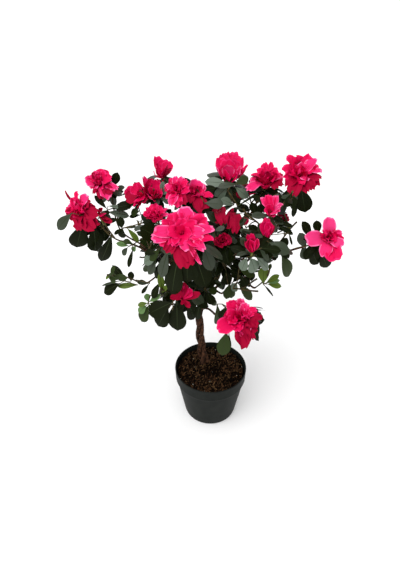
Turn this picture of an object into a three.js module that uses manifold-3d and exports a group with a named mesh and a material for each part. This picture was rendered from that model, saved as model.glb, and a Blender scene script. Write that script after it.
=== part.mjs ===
// A small potted azalea: three thin stems twisted into one trunk, slender boughs that spread from its top,
// and a loose crown of leaf whorls and double blooms, in a round plastic nursery pot.
// Millimetres, +Z up. The origin is the middle of the pot's flat underside, and -Y is the plant's front.
import * as THREE from "three";
import { mergeVertices } from "three/addons/utils/BufferGeometryUtils.js";
import Module from "manifold-3d";

const wasm = await Module();
wasm.setup();

// Driving dimensions of the pot and its filling
const POT = { rim: 60, height: 97, base: 44, collar: 21, step: 2.6, wall: 1.8, floor: 2.4, lip: 1.2 };
const POT_SIDES = 32;
const DRAIN = { count: 6, radius: 4, circle: 33, sides: 8 };
const SOIL = { top: 92, edgeDrop: 3, flat: 40 };
const CLEAR = 0.3;

// Driving dimensions of the trunk: stems twisted round one leaning axis from the soil to the fork
const TRUNK = { foot: [-11, 17], fork: [-19, 17, 190], stems: 3, turns: 0.85, sides: 6, steps: 11 };
const STEM = { foot: 4.5, waist: 3.2, top: 2.6, flareFade: 12, sunk: 3 };

// Driving dimensions of the limbs, the twigs and the leaves
const BOUGH = { tip: 1.2, thinning: 0.8, sides: 5, steps: 4, grip: 0.32 };
const TWIG = { root: 1.3, tip: 1.7, sides: 3, steps: 2, grip: 0.34, alongStem: [0.1, 0.62] };
const LEAF = {
  length: 47,
  onLeafyTips: [0.65, 0.95],
  shrink: 0.35,
  vary: 0.2,
  widthShare: 0.6,
  widestAt: 0.58,
  thickestAt: 0.36,
  tipDip: 0.06,
  thick: 1.3,
  pitch: 1.6,
  rootSink: 0.4,
  droop: 0.36,
  wander: 0.3,
};
const WHORL = {
  bloom: 5,
  leafy: 7,
  slots: 9,
  pedicel: 8,
  lowSide: 0.8,
  bloomSpread: [1.75, 1.1],
  leafySpread: [1.5, 0.5],
};
const SPRAY = {
  entry: 46,
  entryDrop: 6,
  spread: 34,
  behindBloom: [-0.9, -0.35],
  behindMiddle: [-0.5, 0.4],
  lean: { side: 0.9, outward: 0.7, up: 0.4 },
  tipRoom: 20,
  bloomRoom: 9,
};
const BLOOM = { sides: 8, budDepth: 1, openDepth: 0.62, heartSink: 0.3 };
const SPACE = { margin: 1.2, leafReach: 0.85, bloomMargin: 2 };
const LEAFY_TRIES = 12;
const GOLDEN_TURN = THREE.MathUtils.degToRad(137.5);

// One bloom: the middle of its face, its width, how far it has opened (0 a bud, 1 wide open), and where it
// faces, as a bearing from +X towards +Y and a lift above level, in degrees
const bloom = (at, width, open, bearing, lift) => ({ at, width, open, bearing, lift });

// The sprays of the crown, with their number of leafy twigs and their blooms. The first three go on from
// the tops of the stems. A spray without blooms states its own middle, and one with large leaves how large.
const SPRAYS = [
  {
    name: "far_left",
    leafy: 3,
    leafSize: 1.15,
    blooms: [bloom([-176, 12, 378], 54, 1, -138, 48), bloom([-146, 0, 372], 16, 0.3, -60, 50)],
  },
  { name: "far_right", leafy: 2, blooms: [bloom([150, -30, 358], 54, 1, -65, 32)] },
  { name: "back_middle", leafy: 2, blooms: [bloom([-18, 138, 372], 52, 1, 92, 42)] },
  { name: "front_top", leafy: 4, leafSize: 1.3, blooms: [bloom([-38, -104, 406], 68, 1, -110, 30)] },
  { name: "left_back", leafy: 2, blooms: [bloom([-159, 70, 394], 50, 1, -113, 36)] },
  {
    name: "upper_left",
    leafy: 1,
    blooms: [
      bloom([-110, 42, 398], 33, 0.75, -165, 25),
      bloom([-82, 40, 405], 36, 0.8, -80, 62),
      bloom([-70, 60, 429], 30, 0.35, -110, 80),
    ],
  },
  { name: "left_inner", leafy: 2, blooms: [bloom([-74, -16, 389], 38, 0.9, -90, 68)] },
  {
    name: "top_middle",
    leafy: 1,
    blooms: [bloom([-48, 4, 413], 44, 1, -130, 50), bloom([-20, 8, 416], 46, 1, -78, 42)],
  },
  { name: "top_back", leafy: 2, blooms: [bloom([22, 62, 426], 52, 0.85, -80, 76)] },
  { name: "right_top", leafy: 2, blooms: [bloom([73, 36, 417], 56, 1, -75, 68)] },
  { name: "far_right_top", leafy: 2, blooms: [bloom([110, -13, 441], 56, 1, -65, 45)] },
  {
    name: "right_front",
    leafy: 2,
    blooms: [
      bloom([71, -30, 407], 33, 0.6, -110, 70),
      bloom([64, -62, 392], 21, 0.1, -60, 82),
      bloom([43, -84, 383], 22, 0.3, -120, 80),
    ],
  },
  {
    name: "inner_right",
    leafy: 2,
    blooms: [
      bloom([9, 28, 362], 30, 0.5, -150, 66),
      bloom([30, 14, 358], 30, 0.5, -40, 66),
      bloom([12, -36, 361], 29, 0.8, -85, 40),
    ],
  },
  { name: "front_low_right", leafy: 2, blooms: [bloom([34, -102, 281], 60, 1, -82, 40)] },
  { name: "front_low", leafy: 4, leafSize: 1.25, blooms: [bloom([-36, -58, 294], 38, 0.9, -85, 15)] },
  { name: "front_low_left", leafy: 3, leafSize: 1.1, middle: [-70, -44, 284], blooms: [] },
  { name: "left_low", leafy: 3, middle: [-138, -16, 310], blooms: [] },
  { name: "left_middle", leafy: 3, middle: [-116, -6, 338], blooms: [] },
  { name: "middle_low", leafy: 4, middle: [34, -30, 306], blooms: [] },
  { name: "middle_left", leafy: 2, middle: [-44, -30, 338], blooms: [] },
  { name: "middle_right", leafy: 4, middle: [80, 6, 352], blooms: [] },
  { name: "right_low", leafy: 3, middle: [94, -26, 308], blooms: [] },
  {
    name: "back_left",
    leafy: 2,
    blooms: [bloom([-112, 118, 366], 50, 1, 140, 40), bloom([-72, 104, 402], 34, 0.7, 110, 66)],
  },
  {
    name: "back_right",
    leafy: 2,
    blooms: [bloom([60, 126, 382], 52, 1, 62, 45), bloom([98, 92, 398], 22, 0.2, 40, 76)],
  },
  { name: "back_low", leafy: 3, blooms: [bloom([14, 104, 292], 44, 1, 80, 20)] },
  { name: "back_low_left", leafy: 3, blooms: [bloom([-92, 84, 300], 30, 0.7, 150, 30)] },
  { name: "right_back", leafy: 2, blooms: [bloom([136, 64, 344], 50, 1, 20, 38)] },
];

// Plain vector help

const UP = new THREE.Vector3(0, 0, 1);
const vector = (list) => new THREE.Vector3(...list);
const along = (point, direction, length) => point.clone().addScaledVector(direction, length);
const toward = (from, to) => to.clone().sub(from).normalize();
const mix = THREE.MathUtils.lerp;

// A repeatable number from 0 to 1 for a set of whole-number keys
function chance(...keys) {
  let h = 2166136261;
  for (const key of keys) {
    h = Math.imul(h ^ (key + 101), 16777619) >>> 0;
    h = Math.imul(h ^ (h >>> 15), 2246822507) >>> 0;
    h = (h ^ (h >>> 13)) >>> 0;
  }
  return h / 4294967296;
}

// Two directions square to a given one
function squareTo(direction) {
  const helper = Math.abs(direction.z) < 0.9 ? UP : new THREE.Vector3(1, 0, 0);
  const u = new THREE.Vector3().crossVectors(helper, direction).normalize();
  return [u, new THREE.Vector3().crossVectors(direction, u)];
}

function ringPoint(middle, [u, v], radius, turn) {
  return along(along(middle, u, radius * Math.cos(turn)), v, radius * Math.sin(turn));
}

function facing(bearing, lift) {
  const turn = THREE.MathUtils.degToRad(bearing);
  const rise = THREE.MathUtils.degToRad(lift);
  return new THREE.Vector3(Math.cos(turn) * Math.cos(rise), Math.sin(turn) * Math.cos(rise), Math.sin(rise));
}

// Geometries and solids

function geometryFrom(points, triangles) {
  const geometry = new THREE.BufferGeometry();
  geometry.setAttribute("position", new THREE.Float32BufferAttribute(points.flatMap((p) => p.toArray()), 3));
  geometry.setIndex(triangles.flat());
  return geometry;
}

function solidOf(geometry) {
  const bare = geometry.clone();
  bare.deleteAttribute("normal");
  bare.deleteAttribute("uv");
  const merged = mergeVertices(bare, 1e-4);
  const triVerts = new Uint32Array(merged.index.array);
  const vertProperties = merged.attributes.position.array;
  return new wasm.Manifold(new wasm.Mesh({ numProp: 3, vertProperties, triVerts }));
}

function geometryOf(solid) {
  const mesh = solid.getMesh();
  const points = new Float32Array(mesh.numVert * 3);
  for (let i = 0; i < mesh.numVert; i++) {
    points.set(mesh.vertProperties.subarray(i * mesh.numProp, i * mesh.numProp + 3), i * 3);
  }
  const geometry = new THREE.BufferGeometry();
  geometry.setAttribute("position", new THREE.BufferAttribute(points, 3));
  geometry.setIndex(new THREE.BufferAttribute(new Uint32Array(mesh.triVerts), 1));
  return geometry;
}

const largestOf = (solid) => solid.decompose().sort((a, b) => b.volume() - a.volume())[0];

// A tapering tube with flat ends. Each knot has a place, a heading square to its ring, and a radius.
function taperedTube(knots, sides, extra = 0) {
  let [u] = squareTo(knots[0].heading);
  const points = knots.flatMap(({ at, heading, radius }) => {
    u = along(u, heading, -u.dot(heading)).normalize();
    const square = [u, new THREE.Vector3().crossVectors(heading, u)];
    const wide = radius + extra;
    return Array.from({ length: sides }, (_, k) => ringPoint(at, square, wide, (2 * Math.PI * k) / sides));
  });
  const triangles = [];
  const last = points.length - sides;
  for (let i = 0; i < last; i += sides) {
    for (let k = 0; k < sides; k++) {
      const a = i + k;
      const b = i + ((k + 1) % sides);
      triangles.push([a, b, b + sides], [a, b + sides, a + sides]);
    }
  }
  for (let k = 1; k < sides - 1; k++) {
    triangles.push([0, k + 1, k], [last, last + k, last + k + 1]);
  }
  return solidOf(geometryFrom(points, triangles));
}

// Pot and soil

const UNDER_COLLAR = POT.height - POT.collar;
const bodyRadius = (z) => mix(POT.base, POT.rim - POT.step, z / UNDER_COLLAR);
const turned = (profile, sides) => {
  const outline = profile.map(([r, z]) => new THREE.Vector2(r, z));
  return new THREE.LatheGeometry(outline, sides).rotateX(Math.PI / 2);
};

function potGeometry() {
  const edge = 1.5;
  const shell = solidOf(turned([
    [0, 0],
    [POT.base - edge, 0],
    [bodyRadius(edge), edge],
    [bodyRadius(UNDER_COLLAR), UNDER_COLLAR],
    [POT.rim - 1, UNDER_COLLAR],
    [POT.rim, POT.height - POT.lip],
    [POT.rim - POT.lip / 2, POT.height],
    [POT.rim - POT.wall, POT.height],
    [POT.rim - 1 - POT.wall, UNDER_COLLAR + POT.wall],
    [bodyRadius(UNDER_COLLAR) - POT.wall, UNDER_COLLAR - POT.wall],
    [bodyRadius(POT.floor) - POT.wall, POT.floor],
    [0, POT.floor],
  ], POT_SIDES));
  const drains = Array.from({ length: DRAIN.count }, (_, k) => {
    const hole = new THREE.CylinderGeometry(DRAIN.radius, DRAIN.radius, 4 * POT.floor, DRAIN.sides);
    hole.rotateX(Math.PI / 2);
    const turn = (2 * Math.PI * k) / DRAIN.count;
    return solidOf(hole.translate(DRAIN.circle * Math.cos(turn), DRAIN.circle * Math.sin(turn), 0));
  });
  return geometryOf(drains.reduce((pot, hole) => pot.subtract(hole), shell));
}

// The potting mix, level in the middle and a little lower at the wall
function soilGeometry() {
  const inner = (z) => bodyRadius(z) - POT.wall - CLEAR;
  return turned([
    [0, POT.floor + CLEAR],
    [inner(POT.floor) - CLEAR, POT.floor + CLEAR],
    [inner(UNDER_COLLAR) - CLEAR, UNDER_COLLAR - POT.wall],
    [inner(UNDER_COLLAR) - CLEAR, SOIL.top - SOIL.edgeDrop],
    [SOIL.flat, SOIL.top],
    [0, SOIL.top],
  ], POT_SIDES);
}

// Limbs: knots along a curve, and closer points between them that other parts start from or keep clear of

const SAMPLES = 24;

function limbOf(name, curve, radiusAt, { sides, steps }, before = 0) {
  const knots = Array.from({ length: steps + 1 }, (_, i) => {
    const t = i / steps;
    return { at: curve.getPoint(t), heading: curve.getTangent(t), radius: radiusAt(t) };
  });
  const points = [];
  const radii = [];
  const reach = [before];
  for (let i = 0; i <= SAMPLES; i++) {
    const place = (i * steps) / SAMPLES;
    const k = Math.min(Math.floor(place), steps - 1);
    points.push(knots[k].at.clone().lerp(knots[k + 1].at, place - k));
    radii.push(mix(knots[k].radius, knots[k + 1].radius, place - k));
    if (i) reach.push(reach[i - 1] + points[i].distanceTo(points[i - 1]));
  }
  return { name, sides, knots, points, radii, reach, end: points[SAMPLES], heading: knots[steps].heading };
}

// A curve that leaves its start along one direction and arrives at its end along another
function bentCurve(start, onward, end, arrival, grip) {
  const length = grip * start.distanceTo(end);
  return new THREE.CubicBezierCurve3(start, along(start, onward, length), along(end, arrival, -length), end);
}

// Trunk: the twisted stems

const fork = vector(TRUNK.fork);
const foot = new THREE.Vector3(...TRUNK.foot, SOIL.top + CLEAR);
const stemFlare = (t) => (STEM.foot - STEM.waist) * Math.exp(-STEM.flareFade * t);
const stemRadius = (t) => mix(STEM.waist, STEM.top, t) + stemFlare(t);

class TwistedStem extends THREE.Curve {
  constructor(index) {
    super();
    this.phase = Math.PI + (2 * Math.PI * index) / TRUNK.stems;
  }
  getPoint(t, target = new THREE.Vector3()) {
    const turn = this.phase + 2 * Math.PI * TRUNK.turns * (t - 1);
    const offset = (2 * stemRadius(t) + 2 * CLEAR) / Math.sqrt(3);
    const side = new THREE.Vector3(Math.cos(turn), Math.sin(turn), 0);
    return target.lerpVectors(along(foot, UP, -STEM.sunk), fork, t).addScaledVector(side, offset);
  }
}

const growStems = () => Array.from({ length: TRUNK.stems }, (_, k) => {
  return limbOf(`stem_${k + 1}`, new TwistedStem(k), stemRadius, TRUNK);
});

// Boughs: each leaves the limb that gives it the shortest and straightest way from the fork

function sprayMiddle(spray) {
  if (!spray.blooms.length) return vector(spray.middle);
  const sum = spray.blooms.reduce((total, b) => total.add(vector(b.at)), new THREE.Vector3());
  return sum.divideScalar(spray.blooms.length);
}

// Where a spray starts: short of its middle on the way from the fork, and a little lower
function sprayEntry(spray) {
  const middle = sprayMiddle(spray);
  const entry = along(middle, toward(middle, fork), SPRAY.entry);
  entry.z -= SPRAY.entryDrop;
  return entry;
}

function rootFor(end, limbs) {
  const detour = 0.5;
  const turnCost = 30;
  const first = 2;
  const last = SAMPLES - 6;
  let best = { cost: Infinity };
  for (const limb of limbs) {
    for (let i = first; i <= last; i++) {
      const way = toward(limb.points[i], end);
      const onward = toward(limb.points[i - 1], limb.points[i]);
      const cost = limb.points[i].distanceTo(end) + detour * limb.reach[i] + turnCost * (1 - way.dot(onward));
      if (cost < best.cost) best = { cost, limb, i, onward };
    }
  }
  return best;
}

function growBough(spray, start, leave, radius, before) {
  const end = sprayEntry(spray);
  const curve = bentCurve(start, leave, end, toward(end, sprayMiddle(spray)), BOUGH.grip);
  return limbOf(`bough_${spray.name}`, curve, (t) => mix(radius, BOUGH.tip, Math.sqrt(t)), BOUGH, before);
}

function growBoughs(stems) {
  const boughs = [];
  const free = [...stems];
  for (const spray of SPRAYS) {
    const end = sprayEntry(spray);
    if (free.length) {
      free.sort((a, b) => a.end.distanceTo(end) - b.end.distanceTo(end));
      const stem = free.shift();
      boughs.push(growBough(spray, along(stem.end, stem.heading, CLEAR), stem.heading, STEM.top, 0));
    } else {
      const { limb, i, onward } = rootFor(end, boughs);
      const leave = toward(limb.points[i], end).add(onward).normalize();
      boughs.push(growBough(spray, limb.points[i], leave, BOUGH.thinning * limb.radii[i], limb.reach[i]));
    }
  }
  return boughs;
}

// A limb is cut clear of the limbs that came before it, and flat where it meets the soil
function limbSolids(limbs) {
  const cutters = [];
  return limbs.map(({ knots, sides }) => {
    const cut = cutters.reduce((solid, cutter) => solid.subtract(cutter), taperedTube(knots, sides));
    cutters.push(taperedTube(knots, sides, CLEAR / Math.cos(Math.PI / sides)));
    return largestOf(cut).trimByPlane([0, 0, 1], foot.z);
  });
}

// Sprays: a stem from the bough's tip, twigs from the stem, and a tip on each twig for a whorl of leaves

const bloomDepth = (b) => mix(BLOOM.budDepth, BLOOM.openDepth, b.open) * 0.5 * b.width;

function bloomTips(spray) {
  return spray.blooms.map((b) => {
    const axis = facing(b.bearing, b.lift);
    const base = along(vector(b.at), axis, -bloomDepth(b));
    const end = along(base, axis, BLOOM.heartSink * bloomDepth(b));
    const length = LEAF.length * (spray.leafSize ?? 1);
    return { at: along(base, axis, -WHORL.pedicel), axis, base, end, bloom: b, length };
  });
}

// A leafy tip stands beside the spray's middle, a golden turn on from the last one that had room
function leafyTips(spray, index, taken) {
  const middle = sprayMiddle(spray);
  const outward = toward(fork, middle);
  const square = squareTo(outward);
  const tips = [];
  for (let k = 0; k < LEAFY_TRIES && tips.length < spray.leafy; k++) {
    const turn = GOLDEN_TURN * k + 2 * Math.PI * chance(index, 1);
    const side = ringPoint(new THREE.Vector3(), square, 1, turn);
    const spread = SPRAY.spread * (spray.leafSize ?? 1) * mix(0.8, 1.15, chance(index, k, 2));
    const [least, most] = spray.blooms.length ? SPRAY.behindBloom : SPRAY.behindMiddle;
    const back = mix(least, most, chance(index, k, 3));
    const at = along(along(middle, side, spread), outward, SPRAY.spread * back);
    if (!taken.every((place) => at.distanceTo(place.at) > place.room)) continue;
    const { lean } = SPRAY;
    const axis = side.multiplyScalar(lean.side).addScaledVector(outward, lean.outward);
    axis.addScaledVector(UP, lean.up).normalize();
    const end = along(at, axis, 0.5 * WHORL.slots * LEAF.pitch);
    const length = LEAF.length * (spray.leafSize ?? 1) * mix(...LEAF.onLeafyTips, chance(index, k, 4));
    tips.push({ at, axis, end, length });
    taken.push({ at, room: SPRAY.tipRoom });
  }
  return tips;
}

function growTwigs(tips, bough) {
  const radiusAt = (t) => mix(TWIG.root, TWIG.tip, t);
  const start = along(bough.end, bough.heading, CLEAR);
  const stemCurve = bentCurve(start, bough.heading, tips[0].end, tips[0].axis, TWIG.grip);
  const stem = limbOf("stem", stemCurve, radiusAt, TWIG);
  return tips.map((tip, k) => {
    if (!k) return { ...tip, twig: stem };
    const i = Math.round(SAMPLES * mix(...TWIG.alongStem, (k - 0.5) / (tips.length - 1)));
    const leave = toward(stem.points[i], tip.end).add(toward(stem.points[i], stem.points[i + 1])).normalize();
    const curve = bentCurve(stem.points[i], leave, tip.end, tip.axis, TWIG.grip);
    return { ...tip, twig: limbOf("twig", curve, radiusAt, TWIG) };
  });
}

// The twigs and blooms of a spray in one solid, before it has leaves
function woodOf(tips) {
  const pieces = tips.flatMap((tip) => [
    taperedTube(tip.twig.knots, tip.twig.sides),
    ...(tip.bloom ? [bloomSolid(tip)] : []),
  ]);
  return pieces.reduce((whole, piece) => whole.add(piece));
}

const isClear = (solid, others) => others.every((other) => solid.minGap(other, 2 * CLEAR) > CLEAR);

// All sprays with their twigs. A leafy twig that would come too near a limb is left out.
function growSprays(boughs, limbWood) {
  const bloomTipsOf = SPRAYS.map(bloomTips);
  const taken = bloomTipsOf.flat().flatMap((tip) => [
    { at: tip.at, room: SPRAY.tipRoom },
    { at: vector(tip.bloom.at), room: 0.5 * tip.bloom.width + SPRAY.bloomRoom },
  ]);
  return SPRAYS.map((spray, index) => {
    const grown = growTwigs([...bloomTipsOf[index], ...leafyTips(spray, index, taken)], boughs[index]);
    const tips = grown.filter((tip, k) => {
      return !k || tip.bloom || isClear(taperedTube(tip.twig.knots, tip.twig.sides), limbWood);
    });
    return { name: spray.name, index, tips, wood: woodOf(tips) };
  });
}

// Leaves: a whorl round each tip, outer and older leaves first, each kept inside its spray's own space. The
// whorl of a tip that faces sideways has more leaves on its low side, and that of a bloom starts there.

const HALF_WIDTH = [[0.3, 0.6], [LEAF.widestAt, 1], [0.8, 0.7], [1, 0]];
const SMALLER_LEAVES = [1, 0.8, 0.6];

function leafAt(tip, keys, slot, size) {
  const share = slot / WHORL.slots;
  const first = tip.bloom ? -Math.PI / 2 + chance(...keys, 5) - 0.5 : 2 * Math.PI * chance(...keys, 5);
  const even = GOLDEN_TURN * slot + first;
  const turn = even - WHORL.lowSide * (1 - Math.abs(tip.axis.z)) * Math.cos(even);
  const [widest, narrowest] = tip.bloom ? WHORL.bloomSpread : WHORL.leafySpread;
  const spread = mix(widest, narrowest, share) + LEAF.wander * (chance(...keys, slot, 6) - 0.5);
  const side = ringPoint(new THREE.Vector3(), squareTo(tip.axis), 1, turn);
  const direction = side.multiplyScalar(Math.sin(spread)).addScaledVector(tip.axis, Math.cos(spread));
  direction.z -= LEAF.droop * mix(0.5, 1.5, chance(...keys, slot, 7));
  direction.normalize();
  const normal = tip.axis.clone().addScaledVector(UP, 0.6);
  normal.addScaledVector(direction, -normal.dot(direction)).normalize();
  const vary = 1 + LEAF.vary * (chance(...keys, slot, 8) - 0.5);
  const length = size * tip.length * (1 - LEAF.shrink * share) * vary;
  const node = along(tip.at, tip.axis, LEAF.pitch * (slot - WHORL.slots / 2));
  const root = along(node, direction, -LEAF.rootSink);
  return { root, direction, normal, length, width: LEAF.widthShare * length };
}

function leafSolid({ root, direction, normal, length, width }) {
  const side = new THREE.Vector3().crossVectors(normal, direction);
  const wide = along(root, direction, LEAF.widestAt * length);
  const thickest = along(root, direction, LEAF.thickestAt * length);
  const tip = along(along(root, direction, length), normal, -LEAF.tipDip * length);
  const points = [
    root,
    tip,
    along(wide, side, width / 2),
    along(wide, side, -width / 2),
    along(thickest, normal, LEAF.thick / 2),
    along(thickest, normal, -LEAF.thick / 2),
  ];
  const triangles = [[0, 4, 2], [2, 4, 1], [1, 4, 3], [3, 4, 0], [0, 2, 5], [2, 1, 5], [1, 3, 5], [3, 0, 5]];
  return solidOf(geometryFrom(points, triangles));
}

function leafPoints({ root, direction, normal, length, width }) {
  const side = new THREE.Vector3().crossVectors(normal, direction);
  return HALF_WIDTH.flatMap(([share, wide]) => [-1, 0, 1].map((edge) => {
    return along(along(root, direction, share * length), side, (edge * wide * width) / 2);
  }));
}

// Blooms: a lobed rosette that tapers to its base, or an egg-shaped bud

const BLOOM_RINGS = [
  { bud: [0.9, -0.4], full: [0.68, -0.2], lobe: 0.03 },
  { bud: [0.95, 0.35], full: [1, 0.06], lobe: 0.06 },
  { bud: [0.42, 1], full: [0.55, 0.34], lobe: -0.12 },
];
const BLOOM_HEART = { bud: 1.1, full: 0.2 };

function bloomSolid(tip) {
  const { at, width, open } = tip.bloom;
  const square = squareTo(tip.axis);
  const radius = width / 2;
  const points = [tip.base];
  const triangles = [];
  for (const ring of BLOOM_RINGS) {
    const wide = mix(ring.bud[0], ring.full[0], open);
    const middle = along(vector(at), tip.axis, radius * mix(ring.bud[1], ring.full[1], open));
    for (let k = 0; k < BLOOM.sides; k++) {
      const lobe = 1 + ring.lobe * (k % 2 ? -1 : 1);
      points.push(ringPoint(middle, square, radius * wide * lobe, (2 * Math.PI * k) / BLOOM.sides));
    }
  }
  points.push(along(vector(at), tip.axis, radius * mix(BLOOM_HEART.bud, BLOOM_HEART.full, open)));
  const heart = points.length - 1;
  for (let k = 0; k < BLOOM.sides; k++) {
    const next = (k + 1) % BLOOM.sides;
    triangles.push([0, next + 1, k + 1]);
    for (let r = 0; r < BLOOM_RINGS.length - 1; r++) {
      const a = 1 + r * BLOOM.sides + k;
      const b = 1 + r * BLOOM.sides + next;
      triangles.push([a, b, b + BLOOM.sides], [a, b + BLOOM.sides, a + BLOOM.sides]);
    }
    const top = 1 + (BLOOM_RINGS.length - 1) * BLOOM.sides;
    triangles.push([top + k, top + next, heart]);
  }
  return solidOf(geometryFrom(points, triangles));
}

// Each spray's own space: the points nearest to its own tips, less the reach of each tip

function spaceSites(sprays) {
  return sprays.flatMap(({ index, tips }) => tips.flatMap((tip) => {
    const whorl = { index, at: tip.at, reach: SPACE.leafReach * tip.length };
    if (!tip.bloom) return [whorl];
    return [whorl, { index, at: vector(tip.bloom.at), reach: 0.5 * tip.bloom.width + SPACE.bloomMargin }];
  }));
}

function insideOwnSpace(point, index, sites) {
  let own = Infinity;
  let other = Infinity;
  for (const site of sites) {
    const away = point.distanceTo(site.at) - site.reach;
    if (site.index === index) own = Math.min(own, away);
    else other = Math.min(other, away);
  }
  return own + SPACE.margin < other;
}

// The whorl of a tip. A leaf that would leave the spray's space or come too near a limb or another spray
// is tried smaller, and then skipped.
function whorlLeaves(tip, spray, k, sites, others) {
  const inside = (leaf) => leafPoints(leaf).every((point) => insideOwnSpace(point, spray.index, sites));
  const fits = (leaf) => inside(leaf) && isClear(leafSolid(leaf), others);
  const slots = Array.from({ length: tip.bloom ? WHORL.bloom : WHORL.leafy }, (_, slot) => slot);
  return slots.flatMap((slot) => {
    const leaf = SMALLER_LEAVES.map((size) => leafAt(tip, [spray.index, k], slot, size)).find(fits);
    return leaf ? [leafSolid(leaf)] : [];
  });
}

function spraySolid(spray, sites, others) {
  const leaves = spray.tips.flatMap((tip, k) => whorlLeaves(tip, spray, k, sites, others));
  return largestOf(leaves.reduce((whole, leaf) => whole.add(leaf), spray.wood).simplify(0.02));
}

// Materials

const finish = (color, roughness) => new THREE.MeshStandardMaterial({ color, roughness, metalness: 0 });
const POT_PLASTIC = finish(0x2b2f2e, 0.55);
const POTTING_MIX = finish(0x2a1d14, 0.95);
const BARK = finish(0x4a3424, 0.85);
const FOLIAGE = finish(0x24402a, 0.5);

// The plant

function mesh(name, geometry, material) {
  const piece = new THREE.Mesh(geometry, material);
  piece.name = name;
  return piece;
}

const stems = growStems();
const boughs = growBoughs(stems);
const limbs = [...stems, ...boughs];
const limbWood = limbSolids(limbs);
const sprays = growSprays(boughs, limbWood);
const sites = spaceSites(sprays);

const plant = new THREE.Group();
plant.add(mesh("pot", potGeometry(), POT_PLASTIC));
plant.add(mesh("soil", soilGeometry(), POTTING_MIX));
limbs.forEach((limb, i) => plant.add(mesh(limb.name, geometryOf(limbWood[i]), BARK)));
const whole = sprays.map((spray) => spray.wood);
sprays.forEach((spray, i) => {
  whole[i] = spraySolid(spray, sites, [...limbWood, ...whole.filter((_, k) => k !== i)]);
  plant.add(mesh(`spray_${spray.name}`, geometryOf(whole[i]), FOLIAGE));
});

export default plant;
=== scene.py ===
"""Looks of a small potted azalea: stems and boughs with bark, twigs, leaves, double blooms, pot and soil.

Sizes are millimetres until a mesh is made. +Z is up, the origin is the middle of the pot's flat underside,
and -Y is the plant's front. The plant grows by the same rule as its solids, and is carried on to finer twigs.
"""

import math

import bpy
import numpy as np
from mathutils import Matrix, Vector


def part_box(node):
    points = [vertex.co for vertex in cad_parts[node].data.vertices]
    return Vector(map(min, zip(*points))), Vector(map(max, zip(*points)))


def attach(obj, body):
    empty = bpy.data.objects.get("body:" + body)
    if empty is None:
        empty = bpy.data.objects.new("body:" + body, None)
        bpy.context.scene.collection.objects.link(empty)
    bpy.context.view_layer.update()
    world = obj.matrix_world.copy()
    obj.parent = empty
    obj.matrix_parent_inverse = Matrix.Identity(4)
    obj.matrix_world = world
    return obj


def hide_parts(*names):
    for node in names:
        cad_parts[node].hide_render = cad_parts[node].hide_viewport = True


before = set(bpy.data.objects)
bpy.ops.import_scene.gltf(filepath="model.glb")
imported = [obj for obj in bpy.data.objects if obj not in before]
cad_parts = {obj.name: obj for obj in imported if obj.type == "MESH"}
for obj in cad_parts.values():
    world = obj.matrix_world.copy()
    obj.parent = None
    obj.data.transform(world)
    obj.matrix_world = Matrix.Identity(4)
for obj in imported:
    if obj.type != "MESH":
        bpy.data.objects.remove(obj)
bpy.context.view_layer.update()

MM = 0.001

# The pot, as in the solids, and the edge round its underside
POT = {"rim": 60, "height": 97, "base": 44, "collar": 21, "step": 2.6, "wall": 1.8, "floor": 2.4, "edge": 2.5}
# The rounding of its step, collar and rim, and the hair's breadth left open in its middle
POT |= {"step_round": 1.2, "collar_round": 0.8, "rim_round": 0.9, "middle": 0.4, "sides": 144}
# The soil's top, how much lower it lies at the wall, how far out it is level, and its radius
SOIL = {"top": 92, "edge_drop": 3, "flat": 40, "reach": 55}
# How far out chips and fibres lie, the rings of its mesh, how rough they are, and how much lower they lie
SOIL |= {"litter": 54, "fibres": 52, "outer": 55.2, "inner": 0.3, "rings": 40, "sides": 96, "rough": 0.35}
SOIL |= {"lower": 0.6, "seed": 7}
# The gap that the solids leave between a limb and what it stands on
CLEAR = 0.3

# Trunk and limbs, as in the solids. Bulge and lean tell how far the trunk that shows departs from them
TRUNK = {"foot": (-11, 17), "fork": (-19, 17, 190), "stems": 3, "turns": 0.85, "steps": 11}
TRUNK |= {"bulge": 0.15, "lean": -2.0}
# A stem's radii from the foot to the top, how fast its flare fades, and how deep its foot stands
STEM = {"foot": 4.5, "waist": 3.2, "top": 2.6, "flare_fade": 12, "sunk": 3}
# A bough's radius at its tip, and at its root as a share of its limb's, the straight pieces of its solid, how
# long it keeps its way at both ends, and what a detour and a turn cost it
BOUGH = {"tip": 1.2, "thinning": 0.8, "steps": 4, "grip": 0.32, "detour_cost": 0.5, "turn_cost": 30}
# A twig's, and where along the spray's stem the twigs leave it
TWIG = {"root": 1.3, "tip": 1.7, "steps": 2, "grip": 0.34, "along_stem": (0.1, 0.62)}
# A leaf's length, its share on leafy tips, what the last of a whorl loses, and the way from one to the next
LEAF = {"length": 47, "on_leafy_tips": (0.65, 0.95), "shrink": 0.35, "vary": 0.2, "pitch": 1.6}
LEAF |= {"droop": 0.36, "droop_vary": (0.5, 1.5), "wander": 0.3, "face_up": 0.6}
# A whorl's leaves, its distance under a bloom, and how far the leaves spread from the tip's axis, in radians
WHORL = {"slots": 9, "pedicel": 8, "low_side": 0.8, "bloom_spread": (1.75, 1.1), "leafy_spread": (1.5, 0.5)}
# How far before a spray's middle its bough ends, how far out its leafy tips stand and which way they lean
# (aside, outward and up), the room that they need, and how far behind the middle they stand
SPRAY = {"entry": 46, "entry_drop": 6, "spread": 34, "spread_vary": (0.8, 1.15), "lean": (0.9, 0.7, 0.4)}
SPRAY |= {"tip_room": 20, "bloom_room": 9, "behind_bloom": (-0.9, -0.35), "behind_middle": (-0.5, 0.4)}
# A bloom's depth as a share of its radius, and where in it its twig ends
BLOOM = {"bud_depth": 1, "open_depth": 0.62, "heart_sink": 0.3}
LEAFY_TRIES = 12
# The steps in which a limb's course is measured
SAMPLES = 24
GOLDEN_TURN = math.radians(137.5)
# A full turn for angles that are drawn by chance
ROUND = 6.28

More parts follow.
